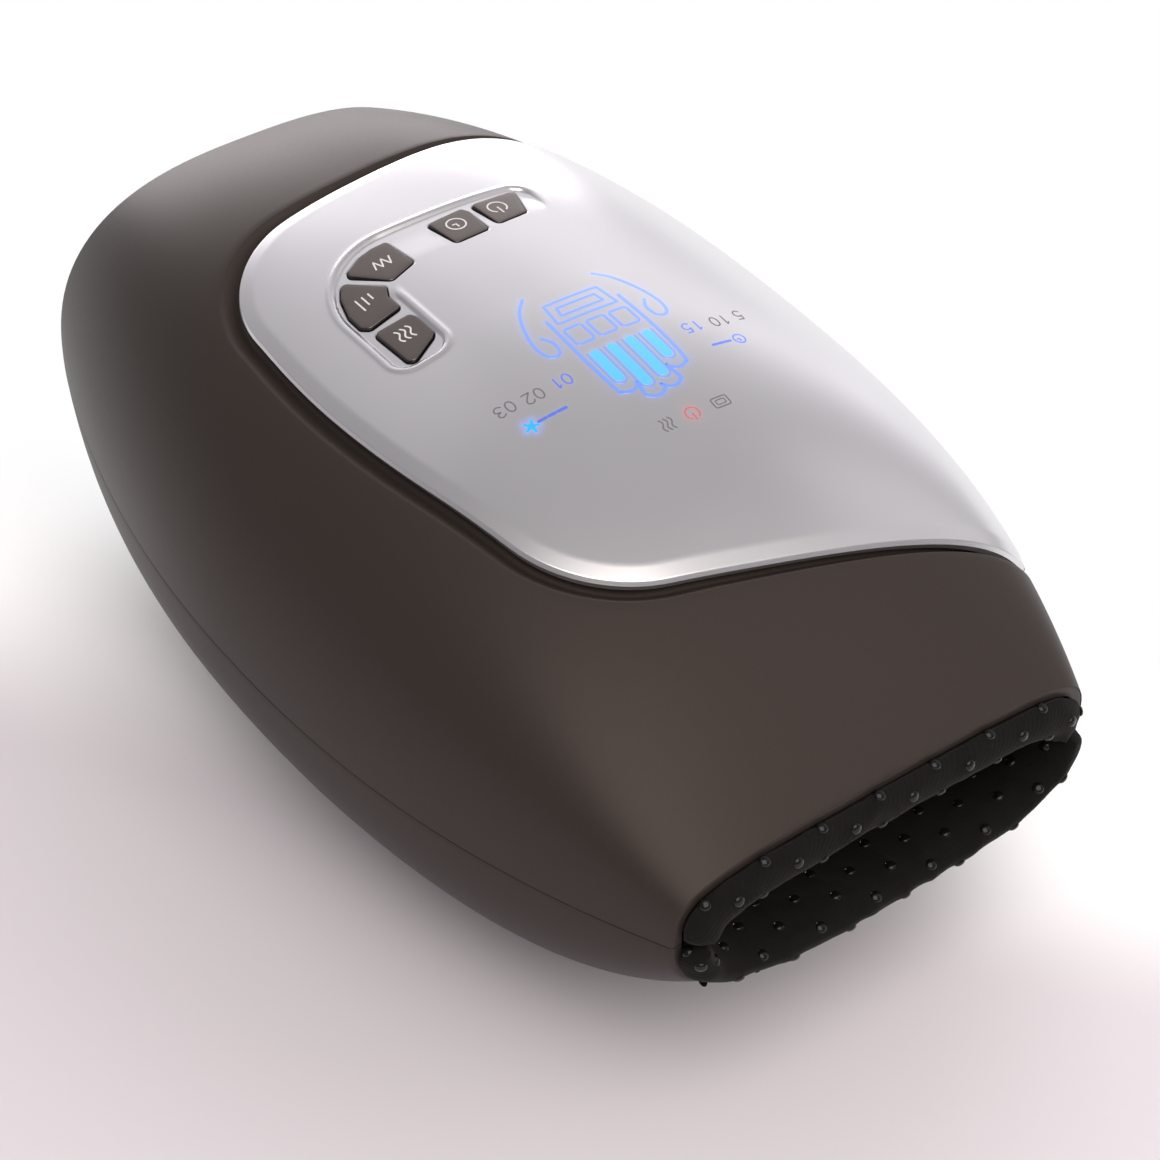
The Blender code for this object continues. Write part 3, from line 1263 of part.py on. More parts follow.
def build_hoses():
    """The three air hoses. Each leaves its port straight for one diameter."""
    along = Vector((0, 2 * HOSE_RADIUS, 0))
    up = Vector((0, 0, 2 * HOSE_RADIUS))
    head_front = MOTOR_LENGTH - MOTOR_REAR + CLEARANCE + PUMP_HEAD_LENGTH + PORT_LENGTH
    start = Vector((PUMP_X, head_front + CLEARANCE, MOTOR_Z + PORT_INSET))
    end = Vector((MANIFOLD_X, MANIFOLD_REAR - PORT_LENGTH - CLEARANCE, SHELF_SEAT + PORT_INSET))
    tube("pump_hose", (start, start + along, end - along, end), HOSE_RADIUS, SILICONE)
    valve_y = MANIFOLD_REAR + MANIFOLD_LENGTH * 3 / 4
    valve_top = SHELF_SEAT + MANIFOLD_HEIGHT + CLEARANCE + VALVE_HEIGHT + CLEARANCE
    foot = Vector((MANIFOLD_X - VALVE_SIZE / 4, valve_y, valve_top))
    nipple = Vector((UPPER_NIPPLE_X, UPPER_NIPPLE_Y, upper_nipple_top() + CLEARANCE))
    outset = FRAME_OUTSET + 2 * HOSE_RADIUS
    route = [nipple, nipple + up]
    turn = math.atan2(nipple.z - tunnel_section(UPPER_NIPPLE_Y)[2], UPPER_NIPPLE_X)
    for share in HOSE_TURNS_SHARES:
        route.append(tunnel_point((UPPER_NIPPLE_Y + valve_y) / 2, turn * share, outset))
    route += [foot + up, foot]
    tube("upper_bag_hose", route, HOSE_RADIUS, SILICONE)
    stub = lower_nipple_place() + Vector((CLEARANCE, 0, 0))
    outlet = Vector((MANIFOLD_X, MANIFOLD_REAR + MANIFOLD_LENGTH + PORT_LENGTH + CLEARANCE,
                     SHELF_SEAT + PORT_INSET))
    tube("lower_bag_hose", (stub, stub + Vector((2 * HOSE_RADIUS, 0, 0)), outlet + along, outlet),
         HOSE_RADIUS, SILICONE)


def build_charging():
    """The charging board with its socket, which opens through the lower shell."""
    base = SHELF_SEAT
    box("charge_board", (-CHARGE_BOARD_OUTER, CHARGE_Y - CHARGE_BOARD_LENGTH / 2, base),
        (-CHARGE_BOARD_OUTER + CHARGE_BOARD_WIDTH, CHARGE_Y + CHARGE_BOARD_LENGTH / 2,
         base + BOARD_THICKNESS), BOARD_GREEN)
    low = base + BOARD_THICKNESS + CLEARANCE
    half = SOCKET_WIDTH / 2
    socket = box("charge_socket", (-SOCKET_FRONT, CHARGE_Y - half, low),
                 (-SOCKET_FRONT + SOCKET_DEPTH + SOCKET_HEIGHT, CHARGE_Y + half, low + SOCKET_HEIGHT), STEEL)
    mouth = box("socket_mouth",
                (-SOCKET_FRONT - OVERRUN, CHARGE_Y - half + SOCKET_WALL, low + SOCKET_WALL),
                (-SOCKET_FRONT + SOCKET_DEPTH, CHARGE_Y + half - SOCKET_WALL,
                 low + SOCKET_HEIGHT - SOCKET_WALL), None, CUTTERS)
    combine(socket, [mouth])


def build_leads():
    """Wires from the battery, the pump and the charging board to the control board."""
    under = BOARD_TOP - BOARD_THICKNESS - CLEARANCE
    outset = FRAME_OUTSET + LEAD_RADIUS + 4 * CLEARANCE

    def lead(name, foot, y, side, shares):
        route = [Vector(foot), Vector(foot) + Vector((0, 0, 3 * LEAD_RADIUS))]
        last = math.atan2(under - 3 * LEAD_RADIUS - tunnel_section(y)[2], LEAD_TOP_X)
        for share in shares:
            turn = last * share
            route.append(tunnel_point(y, turn if side > 0 else math.pi - turn, outset))
        route.append(Vector((side * LEAD_TOP_X, y, under - 3 * LEAD_RADIUS)))
        route.append(Vector((side * LEAD_TOP_X, y, under)))
        tube(name, route, LEAD_RADIUS, WIRE_RED)

    cell_top = SHELF_SEAT + HOLDER_WALL + 2 * CLEARANCE + 2 * CELL_RADIUS + CELL_PITCH
    lead("battery_lead", (-CELL_X, CELL_LENGTH / 4, cell_top), CELL_LENGTH / 4, -1, BATTERY_LEAD_SHARES)
    lead("pump_lead", (PUMP_X, -MOTOR_REAR / 2, MOTOR_Z + MOTOR_RADIUS + CLEARANCE),
         -MOTOR_REAR / 2, 1, PUMP_LEAD_SHARES)
    board_top = SHELF_SEAT + BOARD_THICKNESS + CLEARANCE
    y = CHARGE_Y + CHARGE_BOARD_LENGTH / 2 - 3 * LEAD_RADIUS
    lead("charge_lead", (-CHARGE_BOARD_OUTER + CHARGE_BOARD_WIDTH / 4, y, board_top), y, -1,
         CHARGE_LEAD_SHARES)


def build_feet_and_screws():
    """Four rubber feet with pegs and four screws."""
    places = zip(("rear_left", "rear_right", "front_left", "front_right"), four_places(FOOT_X, FOOT_Y),
                 four_places(SCREW_X, SCREW_Y))
    for name, (x, y), (screw_x, screw_y) in places:
        foot = rod(f"foot_{name}", (x, y, 0), (x, y, FOOT_HEIGHT), FOOT_RADIUS, RUBBER)
        peg = rod(f"foot_peg_{name}", (x, y, FOOT_HEIGHT / 2), (x, y, PAD_BOTTOM + FOOT_PEG_LENGTH),
                  FOOT_PEG_RADIUS, None, SMALL_SIDES, CUTTERS)
        combine(foot, [peg], "UNION")
        screw = rod(f"screw_{name}", (screw_x, screw_y, SCREW_SEAT - SCREW_HEAD_HEIGHT),
                    (screw_x, screw_y, SCREW_SEAT), SCREW_HEAD_RADIUS, STEEL, SMALL_SIDES)
        shank = rod(f"screw_shank_{name}", (screw_x, screw_y, SCREW_SEAT - SCREW_HEAD_HEIGHT / 2),
                    (screw_x, screw_y, SCREW_SEAT + SCREW_LENGTH), SCREW_RADIUS, None, SMALL_SIDES, CUTTERS)
        combine(screw, [shank], "UNION")


def build_all():
    """Every piece of the massager."""
    build_upper_shell()
    build_lower_shell()
    build_panel()
    for name in BUTTONS_SHARES:
        build_button(name)
        build_switch(name)
    build_board()
    build_board_fittings()
    build_sleeve("upper_sleeve", 1, ROLL_NOSE, ROLL_THICKNESS)
    build_sleeve("lower_sleeve", -1, TRAY_NOSE, TRAY_THICKNESS)
    build_bags()
    build_roof_frame()
    build_floor_frame()
    build_batteries()
    build_pump()
    build_valves()
    build_hoses()
    build_charging()
    build_leads()
    build_feet_and_screws()


build_all()
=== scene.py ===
"""The looks of the hand massager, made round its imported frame.

Units are metres and +Z is up. The hand goes in at the rear mouth, at -Y, and the fingertips point to the
front mouth, at +Y. The body's formulas are those of the frame, drawn in finer steps. A place is a pair:
x and y in plan, or the length of skin from the crown (to +X if it is positive) and y.
"""

import json
import math

import bmesh
import bpy
import numpy as np
from mathutils import Matrix, Vector, noise
from mathutils.geometry import delaunay_2d_cdt


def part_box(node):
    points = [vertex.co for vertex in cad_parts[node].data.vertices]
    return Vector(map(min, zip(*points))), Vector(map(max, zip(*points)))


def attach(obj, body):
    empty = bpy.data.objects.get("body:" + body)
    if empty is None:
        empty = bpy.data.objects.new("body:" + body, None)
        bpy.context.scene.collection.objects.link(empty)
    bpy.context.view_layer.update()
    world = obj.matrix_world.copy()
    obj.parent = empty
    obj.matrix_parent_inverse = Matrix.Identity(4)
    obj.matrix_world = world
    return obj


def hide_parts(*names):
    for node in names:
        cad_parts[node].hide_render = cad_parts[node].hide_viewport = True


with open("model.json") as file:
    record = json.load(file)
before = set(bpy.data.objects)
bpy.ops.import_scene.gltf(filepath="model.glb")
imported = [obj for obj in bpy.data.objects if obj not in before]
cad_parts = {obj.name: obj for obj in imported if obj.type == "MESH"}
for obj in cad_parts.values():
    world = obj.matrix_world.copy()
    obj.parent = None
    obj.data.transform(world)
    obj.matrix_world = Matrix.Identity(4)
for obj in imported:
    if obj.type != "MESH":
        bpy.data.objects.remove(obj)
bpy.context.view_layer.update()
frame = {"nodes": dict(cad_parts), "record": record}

MM = 0.001

# Outer body
BODY_LENGTH = 260 * MM
BODY_WIDTH = 170 * MM
CROWN_HEIGHT = 115 * MM
FOOT_LIFT = 2 * MM
WIDEST_Y = -6 * MM
FRONT_MOUTH_WIDTH = 116 * MM
REAR_MOUTH_WIDTH = 121.5 * MM
FRONT_MOUTH_TOP = 71.5 * MM
REAR_MOUTH_TOP = 93.5 * MM
FRONT_MOUTH_BOTTOM = 31 * MM
REAR_MOUTH_BOTTOM = 25.5 * MM
PARTING_MIDDLE = 48.5 * MM
PARTING_FRONT = 54.5 * MM
PARTING_REAR = 44 * MM
WIDTH_POWER_FRONT = 2.2
WIDTH_POWER_REAR = 2.0
TOP_POWER_FRONT = 2.2
TOP_POWER_REAR = 2.55
BOTTOM_POWER = 4.9
DOME_POWER_MIDDLE = 2.35
DOME_POWER_FRONT = 4.2
DOME_POWER_REAR = 2.75
BELLY_POWER = 2.75
EVEN_POWER = 2
HALF_LENGTH = BODY_LENGTH / 2
HALF_WIDTH = BODY_WIDTH / 2

# Shells
WALL = 2.4 * MM
CLEARANCE = 0.3 * MM
MOUTH_GAP = 0.5 * MM
RIM_ROUND = 0.6 * MM
PARTING_ROUND = 0.28 * MM
PARTING_GAP = 0.16 * MM
CORNER_BLEND = 6 * MM
LEDGE_WIDTH = 5 * MM
LEDGE_DEPTH = 4 * MM
CHANNEL_FLOOR = 1.8 * MM
CHANNEL_WIDTH = 6 * MM
CHANNEL_NARROW_SHARE = 0.5

# Control panel: corners as shares of its reaches from the crown's middle and of its corner radius
PANEL_RIGHT = 55.7 * MM
PANEL_LEFT = 80 * MM
PANEL_REAR = 78 * MM
PANEL_FRONT = 103.7 * MM
PANEL_CORNER = 26 * MM
PANEL_CORNERS_SHARES = (
    (0.895, -0.86, 1.3), (1.0, -0.015, 7.7), (0.712, 0.697, 1.30),
    (-1.0, 1.0, 0.45), (-1.0, 0.10, 6.0), (-0.90, -1.0, 0.54), (-0.49, -1.035, 6.0),
)
PANEL_MAIN_CORNERS = (0, 2, 3, 5)
PANEL_LIFT = 0.6 * MM
PANEL_THICKNESS = 1.5 * MM
PANEL_CHAMFER = 3.6 * MM
PANEL_CHAMFER_DROP = 0.45 * MM
PANEL_CHAMFER_INSETS = (0.9 * MM, 1.7 * MM, 2.4 * MM)
PANEL_EDGE_ROUND = 0.4 * MM
PANEL_EDGE_ANGLES = (45, 58, 72)
PANEL_EDGE_GROWTH = 0.2 * MM
PANEL_EDGE_BAND = 0.65 * MM
PANEL_BAND_SLOPE = 1.4
PANEL_BAND_SHARES = (1, 0.1)
CHAMFER_ROUND = 0.7 * MM
# Painted shade: a near-black rim set under the panel's edge darkens the gap round the panel
SHADE_RIM_LEVELS = ((0.5 * MM, -2.4 * MM), (0.5 * MM, -3.75 * MM), (3.2 * MM, -3.75 * MM), (3.2 * MM, -1.3 * MM))
CLIP_LENGTH = 6 * MM
CLIP_PLACES = ((-27 * MM, 92 * MM), (-66 * MM, 98 * MM))
CLIP_LEVELS = ((0.05 * MM, -2.2 * MM), (0.05 * MM, -3.3 * MM), (0.9 * MM, -3.3 * MM), (0.9 * MM, -2.2 * MM))
CORNER_ROOM_SHARE = 0.48
OUTLINE_TURN_WEIGHT = 22 * MM
DISPLAY_LOW = (-48 * MM, -8 * MM)
DISPLAY_HIGH = (32 * MM, 52 * MM)

# Button strip, measured in plan
STRIP_HALF_WIDTH = 7.25 * MM
STRIP_LEFT = 29.5 * MM
STRIP_REAR = 40.3 * MM
STRIP_BEND_RADIUS = 16.7 * MM
STRIP_RIGHT = 28.5 * MM
STRIP_FRONT = 1.7 * MM
STRIP_DEPTH = 0.62 * MM
STRIP_WALL = 0.9 * MM
STRIP_CORNER = 5 * MM
STRIP_BEAD = 0.30 * MM
STRIP_BEAD_PLACE = 0.7 * MM
STRIP_BEAD_WIDTH = 0.75 * MM
STRIP_FADE = 11 * MM
STRIP_CREASE_START = -28 * MM
STRIP_CREASE_RUN = 5 * MM

# Buttons: a centre and corners, in shares of a button's size
BUTTON_SIZE = 13 * MM
BUTTON_CORNER = 1.2 * MM
BUTTON_LIFT = 0.1 * MM
BUTTON_BEVEL = 0.4 * MM
BUTTON_GAP = 0.28 * MM
BUTTON_DEPTH = 2.2 * MM
HOLE_LIP = 0.4 * MM
HOLE_LEVELS = (
    (BUTTON_GAP, 0.25 * MM, -1.2),
    (BUTTON_GAP + HOLE_LIP / 2, 0.06 * MM, -0.5),
    (BUTTON_GAP + HOLE_LIP, 0.0, 0.0),
)
BUTTONS_SHARES = {
    "power": ((-1.46, -3.04), ((0.47, -0.42), (-0.57, -0.48), (-0.27, 0.34), (0.43, 0.43))),
    "timer": ((-0.32, -2.92), ((0.36, -0.46), (-0.44, -0.53), (-0.52, -0.36), (-0.47, 0.36), (0.29, 0.40))),
    "mode": ((1.36, -2.86), ((-0.43, -0.53), (-0.46, 0.36), (0.15, 0.56), (0.64, -0.10),
                             (0.60, -0.25), (0.24, -0.45), (-0.10, -0.53))),
    "intensity": ((2.18, -2.12), ((0.04, -0.80), (-0.50, -0.11), (-0.37, 0.14), (-0.38, 0.53),
                                  (0.32, 0.62), (0.44, 0.48), (0.43, 0.08), (0.28, -0.42))),
    "heat": ((2.18, -0.82), ((0.35, -0.52), (-0.38, -0.50), (-0.44, -0.36), (-0.44, 0.20),
                             (-0.34, 0.30), (0.21, 0.58), (0.31, 0.48))),
}
CAP_SIDE_RISE = 0.6
CAP_RING_SHARES = (0.8, 0.5, 0.2)
CAP_ROUND_STEPS = 5
SIGN_SUNK = 0.05 * MM
CAP_SIGN_LINE = 0.42 * MM
CAP_SIGN_RISE = 0.03 * MM
CAP_SIGNS = {
    "power": ("power", 4.8 * MM, (0.11, -0.07)),
    "timer": ("clock", 4.8 * MM, (-0.06, -0.12)),
    "mode": ("pulse", 4.6 * MM, (0.0, 0.0)),
    "intensity": ("bars", 4.4 * MM, (0.0, 0.0)),
    "heat": ("heat", 4.2 * MM, (-0.03, -0.10)),
}

# Sleeve
TUNNEL_WIDTH = 96 * MM
TUNNEL_FLOOR = 24 * MM
TUNNEL_WIDTH_POWER = 4.0
TUNNEL_ROOF_POWER = 3.0
TUNNEL_FLOOR_POWER = 3.0
TUNNEL_BLEND_POWER = 4
SLEEVE_PAD = 4.5 * MM
ROLL_THICKNESS = 10 * MM
ROLL_LENGTH = 17 * MM
ROLL_NOSE = 4.2 * MM
ROLL_TAPER = 12 * MM
TRAY_THICKNESS = 6 * MM
TRAY_NOSE = 5.6 * MM
LIP_START = 3 * MM
LIP_FLARE = 2.6 * MM
LIP_FLARE_RUN = 1.2 * MM
SEAM_ROUND = 3 * MM
SEAM_TURN = 0.004
SEAM_SHARE = 0.12
EASE_ROWS = 6
FOLDS = ((42, 0.6 * MM), (75, 0.5 * MM), (210, 0.2 * MM))
FOLD_SHIFT = 3.1
TENT_HEIGHT = 0.22 * MM
TENT_REACH = 2.1 * MM
DOT_RADIUS = 1.4 * MM
DOT_HEIGHT = 0.78 * MM
DOT_SUNK = 0.25 * MM
DOT_STEP = 8.0 * MM
DOT_ROW = 4.5 * MM
DOT_FIRST_ROW = 1.2 * DOT_ROW
DOT_LAST_ROW = 0.8 * DOT_ROW
DOT_STAGGER = 0.25
DOT_MARGIN = 1.6 * DOT_RADIUS

# Feet, screws and the charging slot
FOOT_HEIGHT = 1.9 * MM
FOOT_X = 42 * MM
FOOT_Y = 56 * MM
PAD_RADIUS = 8 * MM
PAD_HEIGHT = 6.5 * MM
SCREW_X = 32 * MM
SCREW_Y = 30 * MM
SCREW_SEAT_RADIUS = 3.3 * MM
SCREW_SEAT = 6.9 * MM
OVERRUN = 3 * MM

# Fineness: counts, then the panel's net
TABLE_ROWS = 521
TABLE_COLUMNS = 361
SIDE_SPOKES = 100
END_SPOKES = 72
CHANNEL_RINGS = 22
DOME_RINGS = 40
INNER_RINGS = 12
ROUND_STEPS = 4
BELLY_ROWS = 120
BELLY_COLUMNS = 110
SLEEVE_COLUMNS = 132
SLEEVE_ROWS = 190
DOT_RINGS = 5
DOT_SIDES = 14
LINE_STEP = 0.35 * MM
STRIP_STEP = 0.5 * MM
DISPLAY_STEP = 0.9 * MM
PANEL_STEP = 2.6 * MM
STRIP_SURROUND = 3 * MM
HOLE_SURROUND = BUTTON_GAP + HOLE_LIP + 0.15 * MM
NET_MARGIN = 0.8 * MM
NET_SCALE = 1000.0

# Steps for slopes, edges that stay sharp (degrees), and the share of a half width that counts as its end
SKIN_PROBE = 0.5 * MM
DOME_PROBE = 0.2 * MM
STRIP_PROBE = 0.1 * MM
WIDEST_SHARE = 0.9999
SHARP_DOME = 50
SHARP_BELLY = 32
SHARP_BAR = 30
SHARP_TRIM = 40
SHARP_FABRIC = 60

# Camera and studio: AWAY and RIGHT are level directions as the camera sees them
VIEW_AZIMUTH = 143.43
VIEW_ELEVATION = 42.26
VIEW_ROLL = 0.58
VIEW_DISTANCE = 678.1 * MM
VIEW_TARGET = (0.43 * MM, 18.92 * MM, 47.74 * MM)
VIEW_LENS = 86.75
VIEW_SENSOR = 36
VIEW_CLIP = (0.01, 50)
AWAY = Vector((-0.596, -0.803, 0.0))
RIGHT = Vector((-0.803, 0.596, 0.0))
LIT_CENTRE = Vector((0, 0.02, 0.06))
HAND_CENTRE = np.array([0, 0, 0.06])
SKY = (AWAY * 0.45 + Vector((0, 0, 1))).normalized()
SKY_STOPS = ((-1.0, 0.26), (0.0, 0.31), (0.5, 0.51), (1.0, 0.72))
SKY_TINT = (1.0, 0.975, 1.0)
BACKDROP_STOPS = ((-1.0, 0.20), (-0.1, 0.23), (0.25, 0.25), (0.40, 0.33), (0.55, 0.32), (0.70, 0.44),
                  (0.80, 0.65), (0.88, 1.26), (0.95, 0.80), (1.0, 0.50))
BACKDROP_TINT = (1.0, 0.985, 1.01)
FLOOR_COLOUR = (0.65, 0.609, 0.645)
# Painted light on the floor: its colour turns white further back and then glows, where the backdrop's light
# falls
FLOOR_PAINTED_LIGHT_COLOUR = (1, 0.99, 1)
FLOOR_REACH = 6
FLOOR_SLANT = 0.31
FLOOR_PAINTED_LIGHT_FADE = (-0.070, -0.005)
FLOOR_PAINTED_GLOW = (-0.02, 0.06)

# Lamps: direction (away, right, up), distance, width, height, power, colour, and whether gloss shows them
LAMPS = {
    "back_softbox": ((0.80, 0.12, 0.55), 1.6, 1.1, 1.1, 7.8, (1.0, 0.99, 1.0), False),
    "side_softbox": ((0.0, 0.88, 0.42), 1.5, 0.8, 0.8, 5.5, (1.0, 0.97, 0.95), False),
    "right_softbox": ((0.25, 0.80, 0.55), 1.5, 1.2, 1.2, 1.4, (1.0, 0.97, 0.98), True),
    "left_softbox": ((0.56, -0.44, 0.70), 1.5, 0.8, 0.8, 0.35, (1.0, 0.98, 1.0), True),
    "front_softbox": ((-0.52, 0.14, 0.80), 1.5, 1.5, 1.5, 18.5, (1.0, 0.95, 0.88), True),
    "back_strip": ((0.94, -0.22, 0.04), 1.6, 1.1, 0.26, 6.5, (1.0, 0.93, 0.95), True),
}


# Small tools

def unit(vectors):
    """Vectors at length one."""
    return vectors / np.maximum(np.linalg.norm(vectors, axis=-1, keepdims=True), 1e-12)


def smooth(value):
    """A smooth rise from 0 to 1 as the value goes from 0 to 1."""
    value = np.clip(value, 0, 1)
    return value * value * (3 - 2 * value)


def running_length(points):
    """The length along a line at each of its points."""
    return np.concatenate(([0.0], np.cumsum(np.linalg.norm(np.diff(points, axis=0), axis=-1))))


def between(values, row, column):
    """Values between the points of a grid."""
    low_row = np.minimum(np.asarray(row).astype(int), values.shape[0] - 2)
    low_column = np.minimum(np.asarray(column).astype(int), values.shape[1] - 2)
    down = row - low_row
    along = column - low_column
    return (values[low_row, low_column] * (1 - down) * (1 - along)
            + values[low_row + 1, low_column] * down * (1 - along)
            + values[low_row, low_column + 1] * (1 - down) * along
            + values[low_row + 1, low_column + 1] * down * along)


def slopes(height, at, step):
    """How steeply a height over the plan rises along X and Y."""
    rises = [height(at + move) - height(at - move) for move in np.eye(2) * step]
    return np.stack([rise / (2 * step) for rise in rises], axis=-1)


# Sections of the body and of the tunnel: half width, top, parting height, bottom and two powers

def fall(y, peak_y, peak, front, rear, front_power=EVEN_POWER, rear_power=None):
    """A size that is peak at peak_y and falls to its values at both mouths."""
    ahead = np.clip((y - peak_y) / (HALF_LENGTH - peak_y), 0, 1)
    behind = np.clip((peak_y - y) / (HALF_LENGTH + peak_y), 0, 1)
    rear_power = rear_power or front_power
    return peak - (peak - front) * ahead ** front_power - (peak - rear) * behind ** rear_power


def body_section(y):
    """The outer body's section at y."""
    half_width = fall(y, WIDEST_Y, HALF_WIDTH, FRONT_MOUTH_WIDTH / 2, REAR_MOUTH_WIDTH / 2,
                      WIDTH_POWER_FRONT, WIDTH_POWER_REAR)
    top = fall(y, WIDEST_Y, CROWN_HEIGHT, FRONT_MOUTH_TOP, REAR_MOUTH_TOP, TOP_POWER_FRONT, TOP_POWER_REAR)
    parting = fall(y, 0, PARTING_MIDDLE, PARTING_FRONT, PARTING_REAR)
    bottom = fall(y, 0, 0, FRONT_MOUTH_BOTTOM, REAR_MOUTH_BOTTOM, BOTTOM_POWER)
    power = fall(y, 0, DOME_POWER_MIDDLE, DOME_POWER_FRONT, DOME_POWER_REAR)
    return (half_width, top + FOOT_LIFT, parting + FOOT_LIFT, bottom + FOOT_LIFT, power, BELLY_POWER)


def tunnel_section(y):
    """The section of the sleeve's outside at y."""
    y = np.clip(y, -HALF_LENGTH, HALF_LENGTH)
    front = body_section(HALF_LENGTH)
    rear = body_section(-HALF_LENGTH)
    seat = WALL + MOUTH_GAP
    share = (y + HALF_LENGTH) / BODY_LENGTH
    half_width = fall(y, 0, TUNNEL_WIDTH / 2, front[0] - seat, rear[0] - seat, TUNNEL_WIDTH_POWER)
    top = (rear[1] - seat) * (1 - share) + (front[1] - seat) * share
    bottom = fall(y, 0, TUNNEL_FLOOR + FOOT_LIFT, front[3] + seat, rear[3] + seat)
    roof_power = fall(y, 0, TUNNEL_ROOF_POWER, front[4], rear[4], TUNNEL_BLEND_POWER)
    floor_power = fall(y, 0, TUNNEL_FLOOR_POWER, front[5], rear[5], TUNNEL_BLEND_POWER)
    return (half_width, top, body_section(y)[2], bottom, roof_power, floor_power)


def section_points(section, y, turn, inset=0.0):
    """Points of a section at turns from +X. An inset draws the section in on all sides."""
    half_width, top, parting, bottom, roof_power, floor_power = section
    upper = np.sin(turn) >= 0
    rise = np.where(upper, top - parting, parting - bottom) - inset
    power = np.where(upper, roof_power, floor_power)
    across = np.abs(np.cos(turn)) / (half_width - inset)
    upward = np.abs(np.sin(turn)) / rise
    radius = (across ** power + upward ** power) ** (-1 / power)
    return np.stack(np.broadcast_arrays(radius * np.cos(turn), y, parting + radius * np.sin(turn)), axis=-1)


def body_points(y, turn, inset=0.0):
    """Points of the outer body."""
    return section_points(body_section(y), y, turn, inset)


def parting_turn(y):
    """The turn at which a shell's edge stands half the gap from the parting height."""
    return PARTING_GAP / 2 / body_section(y)[0]


def measure_dome():
    """Turns for shares of the skin from crown to parting edge, row by row, and each row's skin length."""
    rows = np.linspace(-HALF_LENGTH, HALF_LENGTH, TABLE_ROWS)
    turns = []
    reaches = []
    for y in rows:
        line = np.linspace(math.pi / 2, parting_turn(y), TABLE_COLUMNS)
        lengths = running_length(body_points(y, line))
        reaches.append(lengths[-1])
        turns.append(np.interp(np.linspace(0, 1, TABLE_COLUMNS), lengths / lengths[-1], line))
    return rows, np.array(turns), np.array(reaches)


DOME_ROWS, DOME_TURNS, DOME_REACHES = measure_dome()


def skin_reach(y):
    """The length of skin from the crown to the parting edge."""
    return np.interp(y, DOME_ROWS, DOME_REACHES)


def inner_points(at, inset=0.0):
    """Points at places on the skin, drawn in by an inset."""
    across, y = at[..., 0], at[..., 1]
    row = np.clip((y + HALF_LENGTH) / BODY_LENGTH, 0, 1) * (TABLE_ROWS - 1)
    column = np.clip(np.abs(across) / skin_reach(y), 0, 1) * (TABLE_COLUMNS - 1)
    turn = between(DOME_TURNS, row, column)
    return body_points(y, np.where(across >= 0, turn, math.pi - turn), inset)


def skin_points(at, lift=0.0):
    """Points at places on the skin, lifted off it along its normal."""
    flat = inner_points(at)
    if np.all(np.asarray(lift) == 0):
        return flat
    sideways = inner_points(at + (SKIN_PROBE, 0)) - inner_points(at - (SKIN_PROBE, 0))
    ahead = np.minimum(at + (0, SKIN_PROBE), (math.inf, HALF_LENGTH))
    behind = np.maximum(at - (0, SKIN_PROBE), (-math.inf, -HALF_LENGTH))
    normals = unit(np.cross(sideways, inner_points(ahead) - inner_points(behind)))
    return flat + normals * np.asarray(lift)[..., None]


def dome_height(at):
    """The dome's height over places in plan."""
    half_width, top, parting, _bottom, power, _floor = body_section(at[..., 1])
    share = np.clip(np.abs(at[..., 0]) / half_width, 0, WIDEST_SHARE)
    return parting + (top - parting) * (1 - share ** power) ** (1 / power)


def plan_normals(at):
    """The dome's outward normals over places in plan."""
    slope = slopes(dome_height, at, DOME_PROBE)
    return unit(np.concatenate([-slope, np.ones_like(slope[..., :1])], axis=-1))


def upright_points(at, lift=0.0):
    """Points over places in plan at a height above the dome, straight up."""
    return np.concatenate([at, (dome_height(at) + lift)[..., None]], axis=-1)


def plan_points(at, lift=0.0):
    """Points of the dome over places in plan, lifted off it along its normal."""
    return upright_points(at) + plan_normals(at) * np.asarray(lift)[..., None]


# Meshes

def make_object(name, points, faces, material=None, sharp=None, closed=True):
    """A smooth mesh object. Edges over the sharp angle stay sharp, and a closed mesh faces outwards."""
    mesh = bpy.data.meshes.new(name)
    mesh.from_pydata([tuple(point) for point in points], [], [tuple(face) for face in faces])
    mesh.validate()
    mesh.shade_smooth()
    if sharp is not None:
        mesh.set_sharp_from_angle(angle=math.radians(sharp))
    item = bpy.data.objects.new(name, mesh)
    bpy.context.scene.collection.objects.link(item)
    if material is not None:
        mesh.materials.append(material)
    if closed:
        form = bmesh.new()
        form.from_mesh(mesh)
        bmesh.ops.recalc_face_normals(form, faces=form.faces)
        form.to_mesh(mesh)
        form.free()
    return item


def grid_faces(rows, columns, wrap_rows=False, wrap_columns=False, start=0):
    """Quads of a grid of points."""
    row, column = np.meshgrid(np.arange(rows - (not wrap_rows)), np.arange(columns - (not wrap_columns)),
                              indexing="ij")
    next_row = (row + 1) % rows
    next_column = (column + 1) % columns
    corners = [row * columns + column, row * columns + next_column,
               next_row * columns + next_column, next_row * columns + column]
    return (np.stack(corners, axis=-1).reshape(-1, 4) + start).tolist()


def loops_object(name, loops, material, sharp=None, closed=False, hubs=None):
    """A skin over loops of points, closed on itself or by hubs at its ends."""
    loops = np.asarray(loops)
    rows, columns = loops.shape[:2]
    points = loops.reshape(-1, 3).tolist()
    faces = grid_faces(rows, columns, wrap_rows=closed, wrap_columns=True)
    for hub, row in zip(hubs or (), (0, rows - 1)):
        points.append(tuple(hub))
        for column in range(columns):
            pair = (row * columns + column, row * columns + (column + 1) % columns)
            faces.append((*(pair[::-1] if row == 0 else pair), len(points) - 1))
    return make_object(name, points, faces, material, sharp)


def dress(item, body, slot, *nodes):
    """Let a piece ride on its body and hide the solids that it stands for. The slot is not used."""
    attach(item, body)
    if nodes:
        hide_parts(*nodes)
    return item


# Materials

